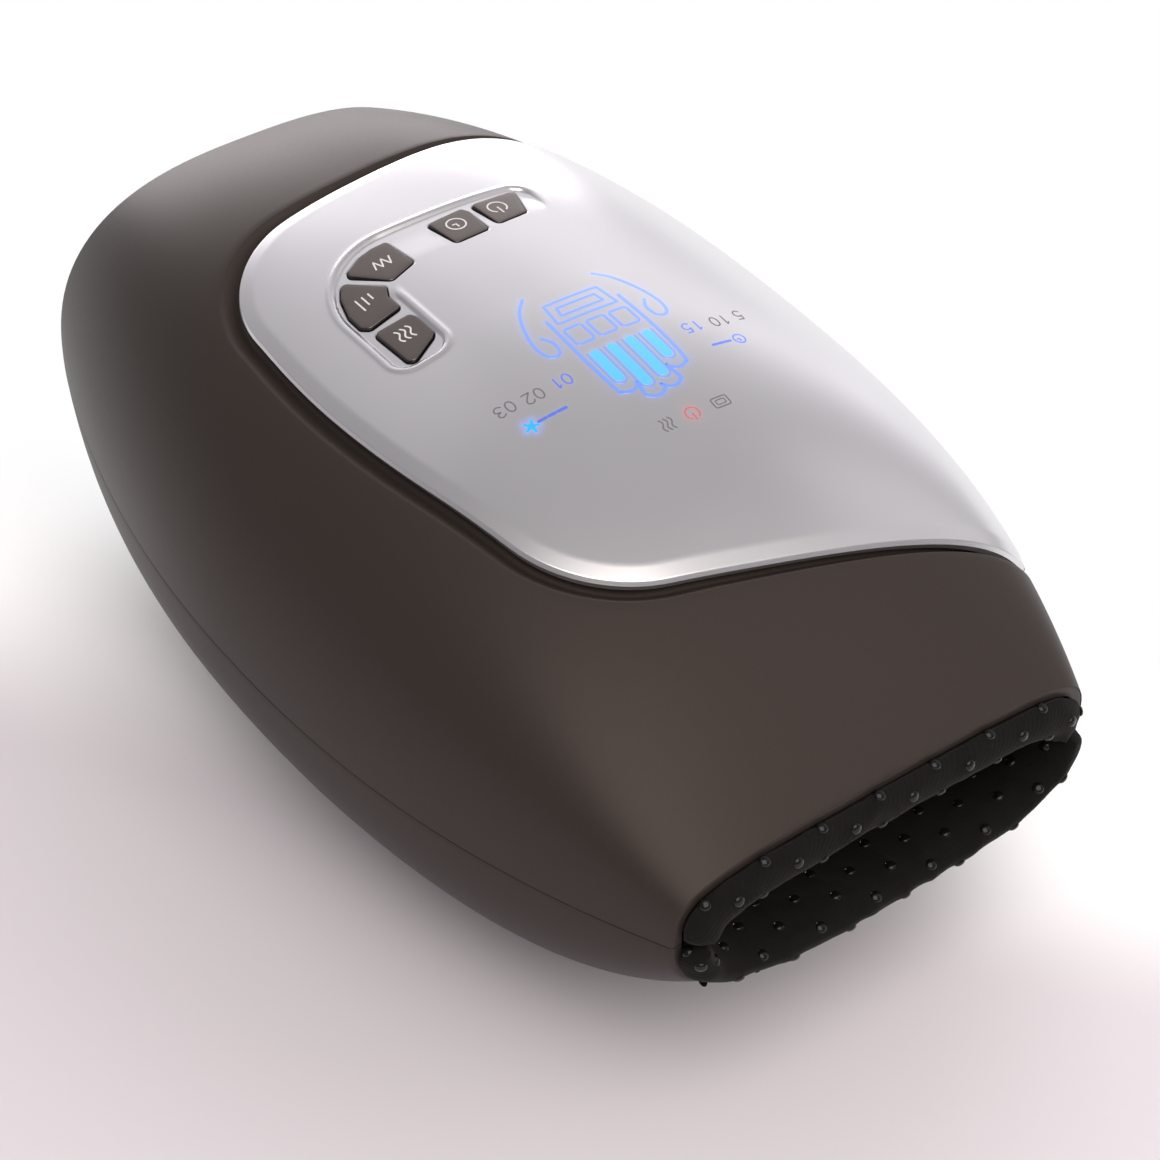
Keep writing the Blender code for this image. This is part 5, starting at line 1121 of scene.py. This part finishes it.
def straight_line(points, closed=False):
    """A line along straight runs."""
    points = [Vector(point) for point in points]
    if closed:
        points.append(points[0])
    found = []
    for start, end in zip(points, points[1:]):
        steps = max(1, round((end - start).length / LINE_STEP))
        found += [start.lerp(end, number / steps) for number in range(steps)]
    return np.array(found if closed else found + [points[-1]])


def arc_line(x, y, radius, start, end, squeeze=1.0):
    """An arc between two angles in degrees, closed if it goes round."""
    count = max(8, round(abs(end - start) / 12))
    angles = np.radians(np.linspace(start, end, count, endpoint=end - start != 360))
    return np.stack([x + radius * squeeze * np.cos(angles), y + radius * np.sin(angles)], axis=-1)


def box_stroke(x, y, width, height, radius, line):
    """The outline of a rectangle with round corners."""
    corners = [(x + side * width / 2, y + end * height / 2, radius)
               for side, end in ((-1, -1), (1, -1), (1, 1), (-1, 1))]
    return (straight_line(rounded_outline(corners, 5)[0], True), line, True)


# Signs in shares of their size: lines, curves, waves, and arcs as centre, radius, angles and squeeze
SIGNS = {
    "power": (("arc", (0, 0, 0.5, 125, 415, 1)), ("line", ((0, 0.02), (0, 0.58)))),
    "clock": (("arc", (0, 0, 0.5, 0, 360, 1)), ("line", ((0, 0.26), (0, 0), (0.2, 0)))),
    "heat": (("wave", -0.36), ("wave", 0.0), ("wave", 0.36)),
    "bars": (("line", ((-0.4, -0.5), (-0.4, 0.0))), ("line", ((0, -0.5), (0, 0.25))),
             ("line", ((0.4, -0.5), (0.4, 0.5)))),
    "pulse": (("line", ((-0.56, -0.3), (-0.34, 0.34), (-0.1, -0.34),
                        (0.14, 0.34), (0.36, -0.34), (0.56, 0.3))),),
    "0": (("arc", (0.5, 0.8, 0.8, 0, 360, 0.62)),),
    "1": (("line", ((0.2, 1.25), (0.5, 1.6), (0.5, 0.0))),),
    "2": (("curve", ((0.0, 1.25), (0.15, 1.52), (0.5, 1.62), (0.88, 1.45), (0.92, 1.1), (0.6, 0.65),
                     (0.02, 0.02))),
          ("line", ((0.02, 0.0), (1.0, 0.0)))),
    "3": (("curve", ((0.05, 1.4), (0.4, 1.62), (0.85, 1.45), (0.85, 1.05), (0.42, 0.86))),
          ("curve", ((0.42, 0.86), (0.92, 0.66), (0.96, 0.25), (0.5, -0.03), (0.02, 0.2)))),
    "5": (("line", ((0.9, 1.6), (0.2, 1.6), (0.12, 0.9))),
          ("curve", ((0.12, 0.9), (0.5, 1.05), (0.92, 0.85), (0.95, 0.3), (0.5, -0.03), (0.05, 0.15)))),
    "word": (("line", ((-0.5, 0), (-0.2, 0))), ("line", ((-0.1, 0), (0.14, 0))),
             ("line", ((0.24, 0), (0.5, 0)))),
}
WAVE_SWAY = 0.11
WAVE_TURNS = 1.1
DIGIT_PITCH = 1.42
DIGIT_MIDDLE = 0.8


def draw_sign(sign, x, y, size, width):
    """A sign's lines at a place."""
    found = []
    for kind, shares in SIGNS[sign]:
        if kind == "arc":
            right, up, radius, start, end, squeeze = shares
            line = arc_line(x + size * right, y + size * up, size * radius, start, end, squeeze)
            found.append((line, width, end - start == 360))
            continue
        if kind == "wave":
            heights = np.linspace(-0.5, 0.5, 15)
            sway = WAVE_SWAY * np.sin(heights * 2 * math.pi * WAVE_TURNS)
            line = np.stack([x + size * (shares + sway), y + size * heights], axis=-1)
        else:
            points = [(x + size * a, y + size * b) for a, b in shares]
            line = (curve_line if kind == "curve" else straight_line)(points)
        found.append((line, width, False))
    return found


def draw_number(text, x, y, size, width):
    """Plain digits, centred on a place."""
    pitch = size * DIGIT_PITCH
    start = x - (len(text) - 1) / 2 * pitch - size / 2
    return [line for index, digit in enumerate(text)
            for line in draw_sign(digit, start + index * pitch, y - size * DIGIT_MIDDLE, size, width)]


# Buttons

def build_button(name):
    """A cap with glossy sides, a rounded edge, a satin top and a white sign."""
    face = PANEL_LIFT + BUTTON_LIFT
    levels = [(0.0, face - BUTTON_BEVEL - BUTTON_DEPTH), (0.0, face - BUTTON_BEVEL)]
    for angle in np.linspace(0, math.pi / 2, CAP_ROUND_STEPS + 1)[1:]:
        levels.append((-BUTTON_BEVEL * (1 - math.cos(angle)), face - BUTTON_BEVEL * (1 - math.sin(angle))))
    loops = [upright_points(button_outline(name, outset), lift) for outset, lift in levels]
    last = button_outline(name, levels[-1][0])
    middle = last.mean(axis=0)
    loops += [upright_points(middle + (last - middle) * share, face) for share in CAP_RING_SHARES]
    hubs = [upright_points(middle, lift) for lift in (levels[0][1], face)]
    cap = loops_object(f"{name}_cap", loops, CAP_PAINT, SHARP_TRIM, hubs=hubs)
    cap.data.materials.append(CAP_SIDE)
    for polygon in cap.data.polygons:
        polygon.material_index = int(abs(polygon.normal.z) < CAP_SIDE_RISE)
    dress(cap, f"{name}_key", "button_paint", f"{name}_button")
    draw, size, shift = CAP_SIGNS[name]
    x, y = (np.array(BUTTONS_SHARES[name][0]) + shift) * BUTTON_SIZE

    def on_cap(at, lift):
        return upright_points(at, face + lift)

    lines = draw_sign(draw, x, y, size, CAP_SIGN_LINE)
    sign = strokes_object(f"{name}_sign", lines, on_cap, CAP_SIGN_RISE, WHITE_INK)
    dress(sign, f"{name}_key", "button_paint")


# Display, in millimetres in plan. The hand's shapes are measured from its middle line
HAND_X = -9.6
HAND_LINE = 0.62
HAND_BLOCKS = (
    ((-7.5, 0.3), (7.5, 0.3), (8.4, 7.4), (-8.4, 7.4)),
    ((-5.4, 2.4), (5.4, 2.4), (5.9, 5.3), (-5.9, 5.3)),
)
HAND_ZONES = (-6.4, 0.0, 6.4)
HAND_ZONE = (12.8, 4.9, 6.0, 0.9)
HAND_SIDE = ((10.2, 5.4), (10.6, 20))
HAND_CURL = ((10.0, -4.6), (13.6, -0.6), (16.4, 5.6), (17.6, 11.6), (16.6, 15.6), (13.9, 15.8),
             (13.2, 12.2), (14.6, 9.4))
FINGERS = ((-7.3, 30.2), (-2.5, 34.6), (2.5, 35.4), (7.3, 31.4))
FINGER_TIP = (2.867, 2.585)
FINGER_LOOP = 1.75
FINGER_TIP_ANGLES = (165, 135, 110, 90, 70, 45, 15)
FINGER_LOOP_ANGLES = (150, 120, 90, 60, 30)
HAND_EDGE_LINE = 0.85
HAND_CURL_LINE = 0.75
FINGER_LINE = 0.38
FILL_LINE = 2.6
FINGER_FOOT = 19.4
FINGER_BEND = 2.2
FILL_FOOT = 20.4
FILL_TIP = 2.4
STAR = (22.8, 30.6)
STAR_CORE = 0.45
STAR_CORE_LINE = 0.9
STAR_RAY = (0.4, 1.7)
STAR_RAY_LINE = 0.6
STAR_TURNS = (20, 92, 164, 236, 308)
# Kind, layer, text or sign, x, y, size and line
DISPLAY_SIGNS = (
    (draw_number, "deep", "01", 9.4, 23.4, 2.0, 0.34), (draw_number, "deep", "15", -28.1, 22.7, 2.0, 0.34),
    (draw_sign, "deep", "word", 17.0, 30.4, 7.4, 0.8), (draw_sign, "deep", "word", -31.0, 30.0, 5.0, 0.7),
    (draw_sign, "deep", "clock", -36.2, 30.0, 3.0, 0.36), (draw_sign, "red", "power", -10.3, 45.8, 3.4, 0.36),
    (draw_number, "grey", "02", 17.2, 23.6, 2.0, 0.34), (draw_number, "grey", "03", 24.6, 23.0, 2.0, 0.34),
    (draw_number, "grey", "10", -36.0, 22.8, 2.0, 0.34), (draw_number, "grey", "5", -42.4, 21.8, 2.0, 0.34),
    (draw_sign, "grey", "heat", -3.3, 45.8, 3.4, 0.34),
)
DISPLAY_BOXES = ((-18.3, 45.8, 4.2, 2.8, 0.5, 0.32), (-18.3, 45.8, 2.4, 1.3, 0.3, 0.26))
DISPLAY_LAYERS = {
    "blue": (BLUE_LIGHT, 0.05), "deep": (DEEP_LIGHT, 0.04), "fills": (FILL_LIGHT, 0.03),
    "cyan": (CYAN_LIGHT, 0.04), "red": (RED_LIGHT, 0.04), "grey": (GREY_INK, 0.03),
}
# Layer, first point of its lines, colour, reach past a line's edge and strength
DISPLAY_GLOWS = (
    ("blue", 0, (0.02, 0.16, 0.95), 0.8, 0.20), ("deep", 0, (0.02, 0.16, 0.95), 0.5, 0.12),
    ("fills", 0, (0.0, 0.30, 1.0), 0.6, 0.50), ("fills", -8, (0.0, 0.30, 1.0), 2.2, 0.26),
    ("cyan", 0, (0.0, 0.22, 1.0), 0.9, 0.45), ("red", 0, (0.9, 0.05, 0.05), 1.0, 0.10),
)


def circle_points(x, y, radius_x, radius_y, angles):
    """Points at angles in degrees on an oval."""
    return [(x + radius_x * math.cos(math.radians(angle)), y + radius_y * math.sin(math.radians(angle)))
            for angle in angles]


def hand_strokes():
    """The lit hand: wrist block, zones, finger outlines and the flanks."""

    def stroke(draw, points, width, *closed):
        return (draw([((HAND_X + x) * MM, y * MM) for x, y in points], *closed), width * MM, bool(closed))

    found = [stroke(straight_line, block, HAND_LINE, True) for block in HAND_BLOCKS]
    y, *sizes = (size * MM for size in HAND_ZONE)
    found += [box_stroke((HAND_X + shift) * MM, y, *sizes, HAND_LINE * MM) for shift in HAND_ZONES]
    path = [(-x, y) for x, y in HAND_SIDE]
    for shift, tip in FINGERS:
        path += circle_points(shift, tip, *FINGER_TIP, FINGER_TIP_ANGLES)
    found.append(stroke(curve_line, path + list(HAND_SIDE[::-1]), HAND_EDGE_LINE))
    for shift, tip in FINGERS:
        low, high = FINGER_FOOT, tip - FINGER_BEND
        left, right = shift - FINGER_LOOP, shift + FINGER_LOOP
        tops = circle_points(shift, high, FINGER_LOOP, FINGER_LOOP, FINGER_LOOP_ANGLES)
        loop = [(left, low), (left, high), *tops, (right, high), (right, low)]
        found.append(stroke(straight_line, loop, FINGER_LINE))
    found += [stroke(curve_line, [(side * x, y) for x, y in HAND_CURL], HAND_CURL_LINE)
              for side in (-1, 1)]
    fills = [stroke(straight_line, [(shift, FILL_FOOT), (shift, tip - FILL_TIP)], FILL_LINE)
             for shift, tip in FINGERS]
    return found, fills


def star_strokes(x, y):
    """A small star of five rays."""
    found = [(arc_line(x, y, STAR_CORE * MM, 0, 360), STAR_CORE_LINE * MM, True)]
    for turn in np.radians(STAR_TURNS):
        ray = [(x + math.cos(turn) * reach * MM, y + math.sin(turn) * reach * MM) for reach in STAR_RAY]
        found.append((straight_line(ray), STAR_RAY_LINE * MM, False))
    return found


def build_display():
    """Every sign of the display. Gives back the lit lines with their light."""
    layers = {name: [] for name in DISPLAY_LAYERS}
    layers["blue"], layers["fills"] = hand_strokes()
    layers["cyan"] = star_strokes(*(size * MM for size in STAR))
    for draw, layer, sign, *sizes in DISPLAY_SIGNS:
        layers[layer] += draw(sign, *(size * MM for size in sizes))
    layers["grey"] += [box_stroke(*(size * MM for size in sizes)) for sizes in DISPLAY_BOXES]

    def on_panel(at, lift):
        return plan_points(at, PANEL_LIFT + lift)

    for name, (material, rise) in DISPLAY_LAYERS.items():
        signs = strokes_object(f"display_{name}", layers[name], on_panel, rise * MM, material)
        dress(signs, "housing", "diffuser")
    return [(line[first:], colour, width / 2 + reach * MM, strength)
            for name, first, colour, reach, strength in DISPLAY_GLOWS
            for line, width, _closed in layers[name]]


# Sleeve

def sleeve_path(thickness, nose):
    """The padding's section along Y as places, insets and middles, from the front lip round to the back."""
    angles = np.radians(np.linspace(90, -90, 25))
    lip_y = HALF_LENGTH - LIP_START + (nose + LIP_START) * np.cos(angles)
    lip_inset = thickness / 2 * (1 - np.sin(angles))
    lip_inset -= LIP_FLARE * smooth((lip_y - HALF_LENGTH) / LIP_FLARE_RUN) * np.clip(np.sin(angles), 0, 1)
    far = HALF_LENGTH - LIP_START
    inner_y = np.linspace(far, -far, SLEEVE_ROWS)[1:-1]
    taper = smooth((HALF_LENGTH - np.abs(inner_y) - ROLL_LENGTH) / ROLL_TAPER)
    inner_inset = thickness + (SLEEVE_PAD - thickness) * taper
    back_y = np.linspace(-far, far, 30)[1:-1]
    lip_middle = np.full(len(lip_y), thickness / 2)
    places = np.concatenate((lip_y, inner_y, -lip_y[::-1], back_y))
    insets = np.concatenate((lip_inset, inner_inset, lip_inset[::-1], np.zeros(len(back_y))))
    middles = np.concatenate((lip_middle, inner_inset / 2, lip_middle, np.full(len(back_y), SLEEVE_PAD / 2)))
    return places, insets, middles, len(lip_y) * 2 + len(inner_y)


def build_sleeve(name, side, thickness, nose, seed):
    """Half of the padded sleeve: rolled lips, soft folds, and dots that lift the fabric a little."""
    places, insets, middles, shown = sleeve_path(thickness, nose)
    share = np.linspace(0, 1, SLEEVE_COLUMNS)
    turn = side * (SEAM_TURN + (math.pi - 2 * SEAM_TURN) * share)
    edge = np.minimum(share, 1 - share) * math.pi * (TUNNEL_WIDTH / 2)
    puff = np.sqrt(1 - (1 - np.clip(edge / SEAM_ROUND, 0, 1)) ** 2)
    puff = SEAM_SHARE + (1 - SEAM_SHARE) * puff
    y = places[:, None] + np.zeros(SLEEVE_COLUMNS)
    inset = middles[:, None] + (insets - middles)[:, None] * puff[None, :]
    points = section_points(tunnel_section(y), y, np.broadcast_to(turn, y.shape), inset)
    down = np.roll(points, -1, axis=0) - np.roll(points, 1, axis=0)
    normals = unit(np.cross(down, np.gradient(points, axis=1)))
    row = shown // 2
    if np.mean(np.sum((points[row] - HAND_CENTRE) * normals[row], axis=-1)) > 0:
        normals = -normals
    ease = np.zeros((len(places), 1))
    ease[:shown] = 1
    ease[:EASE_ROWS, 0] = np.linspace(0, 1, EASE_ROWS)
    ease[shown - EASE_ROWS:shown, 0] = np.linspace(1, 0, EASE_ROWS)
    points = points + normals * (fold_heights(points, seed) * ease * puff)[..., None]
    dots = dot_places(points, shown)
    tent = np.zeros(points.shape[:2])
    for row, column in dots:
        apart = np.linalg.norm(points - between(points, row, column), axis=-1)
        tent += TENT_HEIGHT * np.exp(-(apart / TENT_REACH) ** 2)
    points = points + normals * (tent * ease)[..., None]
    faces = grid_faces(len(places), SLEEVE_COLUMNS, wrap_rows=True)
    rows = range(len(places))
    faces.append(tuple(row * SLEEVE_COLUMNS for row in rows))
    faces.append(tuple(row * SLEEVE_COLUMNS + SLEEVE_COLUMNS - 1 for row in reversed(rows)))
    sleeve = make_object(f"{name}_padding", points.reshape(-1, 3), faces, KNIT, SHARP_FABRIC)
    dress(sleeve, "housing", "sleeve_fabric", name)
    build_dots(name, points, normals, dots)


def fold_heights(points, seed):
    """Heights of soft folds and small unevenness over the fabric."""
    (broad_scale, broad_size), (ridge_scale, ridge_size), (fine_scale, fine_size) = FOLDS
    found = np.zeros(points.shape[:2])
    for spot in np.ndindex(found.shape):
        place = Vector(points[spot])
        broad = noise.noise(place * broad_scale + Vector((seed, 0, 0)))
        ridge = 1 - abs(noise.noise(place * ridge_scale + Vector((0, seed, FOLD_SHIFT))))
        fine = noise.noise(place * fine_scale + Vector((0, 0, seed)))
        found[spot] = broad_size * broad + ridge_size * ridge ** 4 + fine_size * fine
    return found - found.mean()


def dot_places(points, shown):
    """Places of the dots on the grid, in staggered rows."""
    lengths = running_length(points[:shown, points.shape[1] // 2])
    found = []
    for index, length in enumerate(np.arange(DOT_FIRST_ROW, lengths[-1] - DOT_LAST_ROW, DOT_ROW)):
        row = np.interp(length, lengths, np.arange(shown))
        across = running_length(points[int(round(row))])
        span = across[-1]
        count = int(span / DOT_STEP)
        for number in range(-count, count + 1):
            place = span / 2 + (number + (DOT_STAGGER if index % 2 else -DOT_STAGGER)) * 2 * DOT_STEP
            if DOT_MARGIN < place < span - DOT_MARGIN:
                found.append((row, float(np.interp(place, across, np.arange(len(across))))))
    return found


def build_dots(name, points, normals, dots):
    """Glossy domes on the fabric."""
    corners = []
    faces = []
    turns = 2 * math.pi * np.arange(DOT_SIDES)[:, None] / DOT_SIDES
    for row, column in dots:
        base = between(points, row, column)
        up = unit(between(normals, row, column))
        right = unit(np.cross(up, np.array([0.0, 0.0, 1.0]) + 0.2 * np.roll(up, 1)))
        arms = right * np.cos(turns) + np.cross(up, right) * np.sin(turns)
        start = len(corners)
        for angle in math.pi / 2 * np.arange(DOT_RINGS) / DOT_RINGS:
            height = DOT_HEIGHT * math.sin(angle) - DOT_SUNK
            corners += (base + up * height + arms * DOT_RADIUS * math.cos(angle)).tolist()
        corners.append(base + up * (DOT_HEIGHT - DOT_SUNK))
        faces += grid_faces(DOT_RINGS, DOT_SIDES, wrap_columns=True, start=start)
        tip = start + DOT_RINGS * DOT_SIDES
        top = tip - DOT_SIDES
        faces += [(top + number, top + (number + 1) % DOT_SIDES, tip) for number in range(DOT_SIDES)]
        faces.append(tuple(range(start + DOT_SIDES - 1, start - 1, -1)))
    dress(make_object(f"{name}_dots", corners, faces, DOT_RUBBER, SHARP_FABRIC), "housing", "sleeve_fabric")


# Studio

def build_camera():
    """The camera at the photograph's place."""
    azimuth = math.radians(VIEW_AZIMUTH)
    elevation = math.radians(VIEW_ELEVATION)
    back = Vector((math.sin(azimuth) * math.cos(elevation), -math.cos(azimuth) * math.cos(elevation),
                   math.sin(elevation)))
    camera = bpy.data.objects.new("camera", bpy.data.cameras.new("camera"))
    bpy.context.scene.collection.objects.link(camera)
    camera.data.lens = VIEW_LENS
    camera.data.sensor_width = VIEW_SENSOR
    camera.data.clip_start, camera.data.clip_end = VIEW_CLIP
    turn = (-back).to_track_quat("-Z", "Y").to_matrix().to_4x4()
    turn = turn @ Matrix.Rotation(math.radians(VIEW_ROLL), 4, "Z")
    turn.translation = Vector(VIEW_TARGET) + back * VIEW_DISTANCE
    camera.matrix_world = turn
    bpy.context.scene.camera = camera


def add_lamp(name, direction, distance, width, height, power, colour, shine):
    """A soft lamp that faces the object."""
    away, right, up = direction
    place = (AWAY * away + RIGHT * right + Vector((0, 0, up))).normalized() * distance + LIT_CENTRE
    lamp = bpy.data.lights.new(name, "AREA")
    lamp.shape = "RECTANGLE"
    lamp.size = width
    lamp.size_y = height
    lamp.energy = power
    lamp.color = colour
    item = bpy.data.objects.new(name, lamp)
    bpy.context.scene.collection.objects.link(item)
    item.location = place
    item.rotation_euler = (LIT_CENTRE - place).to_track_quat("-Z", "Y").to_euler()
    item.visible_glossy = shine
    item.visible_camera = False


def add_gradient(tree, axis, stops, tint):
    """A background whose grey follows the directions' share along an axis."""
    place = add_node(tree, "TexCoord")["Generated"]
    facing = add_node(tree, "VectorMath", place, axis, operation="DOT_PRODUCT")
    share = add_node(tree, "MapRange", facing["Value"], -1.0)["Result"]
    colours = [((place + 1) / 2, [grey * part for part in tint]) for place, grey in stops]
    return add_node(tree, "Background", add_ramp(tree, share, colours))[0]


def build_world():
    """A white backdrop behind the object that greys over it and towards the camera."""
    world = bpy.data.worlds.new("studio")
    bpy.context.scene.world = world
    world.use_nodes = True
    tree = world.node_tree
    tree.nodes.clear()
    paths = add_node(tree, "LightPath")
    sky = add_gradient(tree, SKY, SKY_STOPS, SKY_TINT)
    backdrop = add_gradient(tree, AWAY, BACKDROP_STOPS, BACKDROP_TINT)
    lit = add_node(tree, "MixShader", paths["Is Glossy Ray"], sky, backdrop)[0]
    seen = add_node(tree, "Math", paths["Is Camera Ray"], paths["Is Transmission Ray"],
                    operation="MAXIMUM")[0]
    white = add_node(tree, "Background", (1, 1, 1, 1))[0]
    add_node(tree, "OutputWorld", add_node(tree, "MixShader", seen, lit, white)[0])


def build_floor():
    """A pale floor with painted light: its colour goes white further back, and then a painted glow carries it
    into the backdrop.
    """
    corners = [(-FLOOR_REACH, -FLOOR_REACH, 0), (FLOOR_REACH, -FLOOR_REACH, 0),
               (FLOOR_REACH, FLOOR_REACH, 0), (-FLOOR_REACH, FLOOR_REACH, 0)]
    material, tree, shader = new_material("floor_paper", Roughness=0.75)
    floor = make_object("floor", corners, [(0, 1, 2, 3)], material, closed=False)
    away = add_node(tree, "VectorMath", add_node(tree, "TexCoord")["Object"], AWAY + RIGHT * FLOOR_SLANT,
                    operation="DOT_PRODUCT")["Value"]
    # Painted light: the colour turns white further back, and a glow shows to camera and glossy rays
    fade, glow = (add_node(tree, "MapRange", away, *limits, interpolation_type="SMOOTHSTEP")["Result"]
                  for limits in (FLOOR_PAINTED_LIGHT_FADE, FLOOR_PAINTED_GLOW))
    feed(shader, {"Base Color": add_ramp(tree, fade, ((0, FLOOR_COLOUR), (1, FLOOR_PAINTED_LIGHT_COLOUR)))})
    paths = add_node(tree, "LightPath")
    seen = add_node(tree, "Math", paths["Is Camera Ray"], paths["Is Glossy Ray"], operation="MAXIMUM")[0]
    amount = add_node(tree, "Math", glow, seen, operation="MULTIPLY")[0]
    white = add_node(tree, "Emission", Strength=1.0)[0]
    mix = add_node(tree, "MixShader", amount, shader.outputs["BSDF"], white)[0]
    feed(tree.nodes["Material Output"], {"Surface": mix})


def build_all():
    """Every visible piece and the studio."""
    finish_by_slot()
    build_upper_shell()
    build_lower_shell()
    build_panel(build_display())
    build_panel_trim()
    for name in BUTTONS_SHARES:
        build_button(name)
    build_sleeve("upper_sleeve", 1, ROLL_THICKNESS, ROLL_NOSE, 1.7)
    build_sleeve("lower_sleeve", -1, TRAY_THICKNESS, TRAY_NOSE, 5.2)
    build_camera()
    build_world()
    build_floor()
    for name, values in LAMPS.items():
        add_lamp(name, *values)
    bpy.context.scene.view_settings.view_transform = "Standard"


build_all()
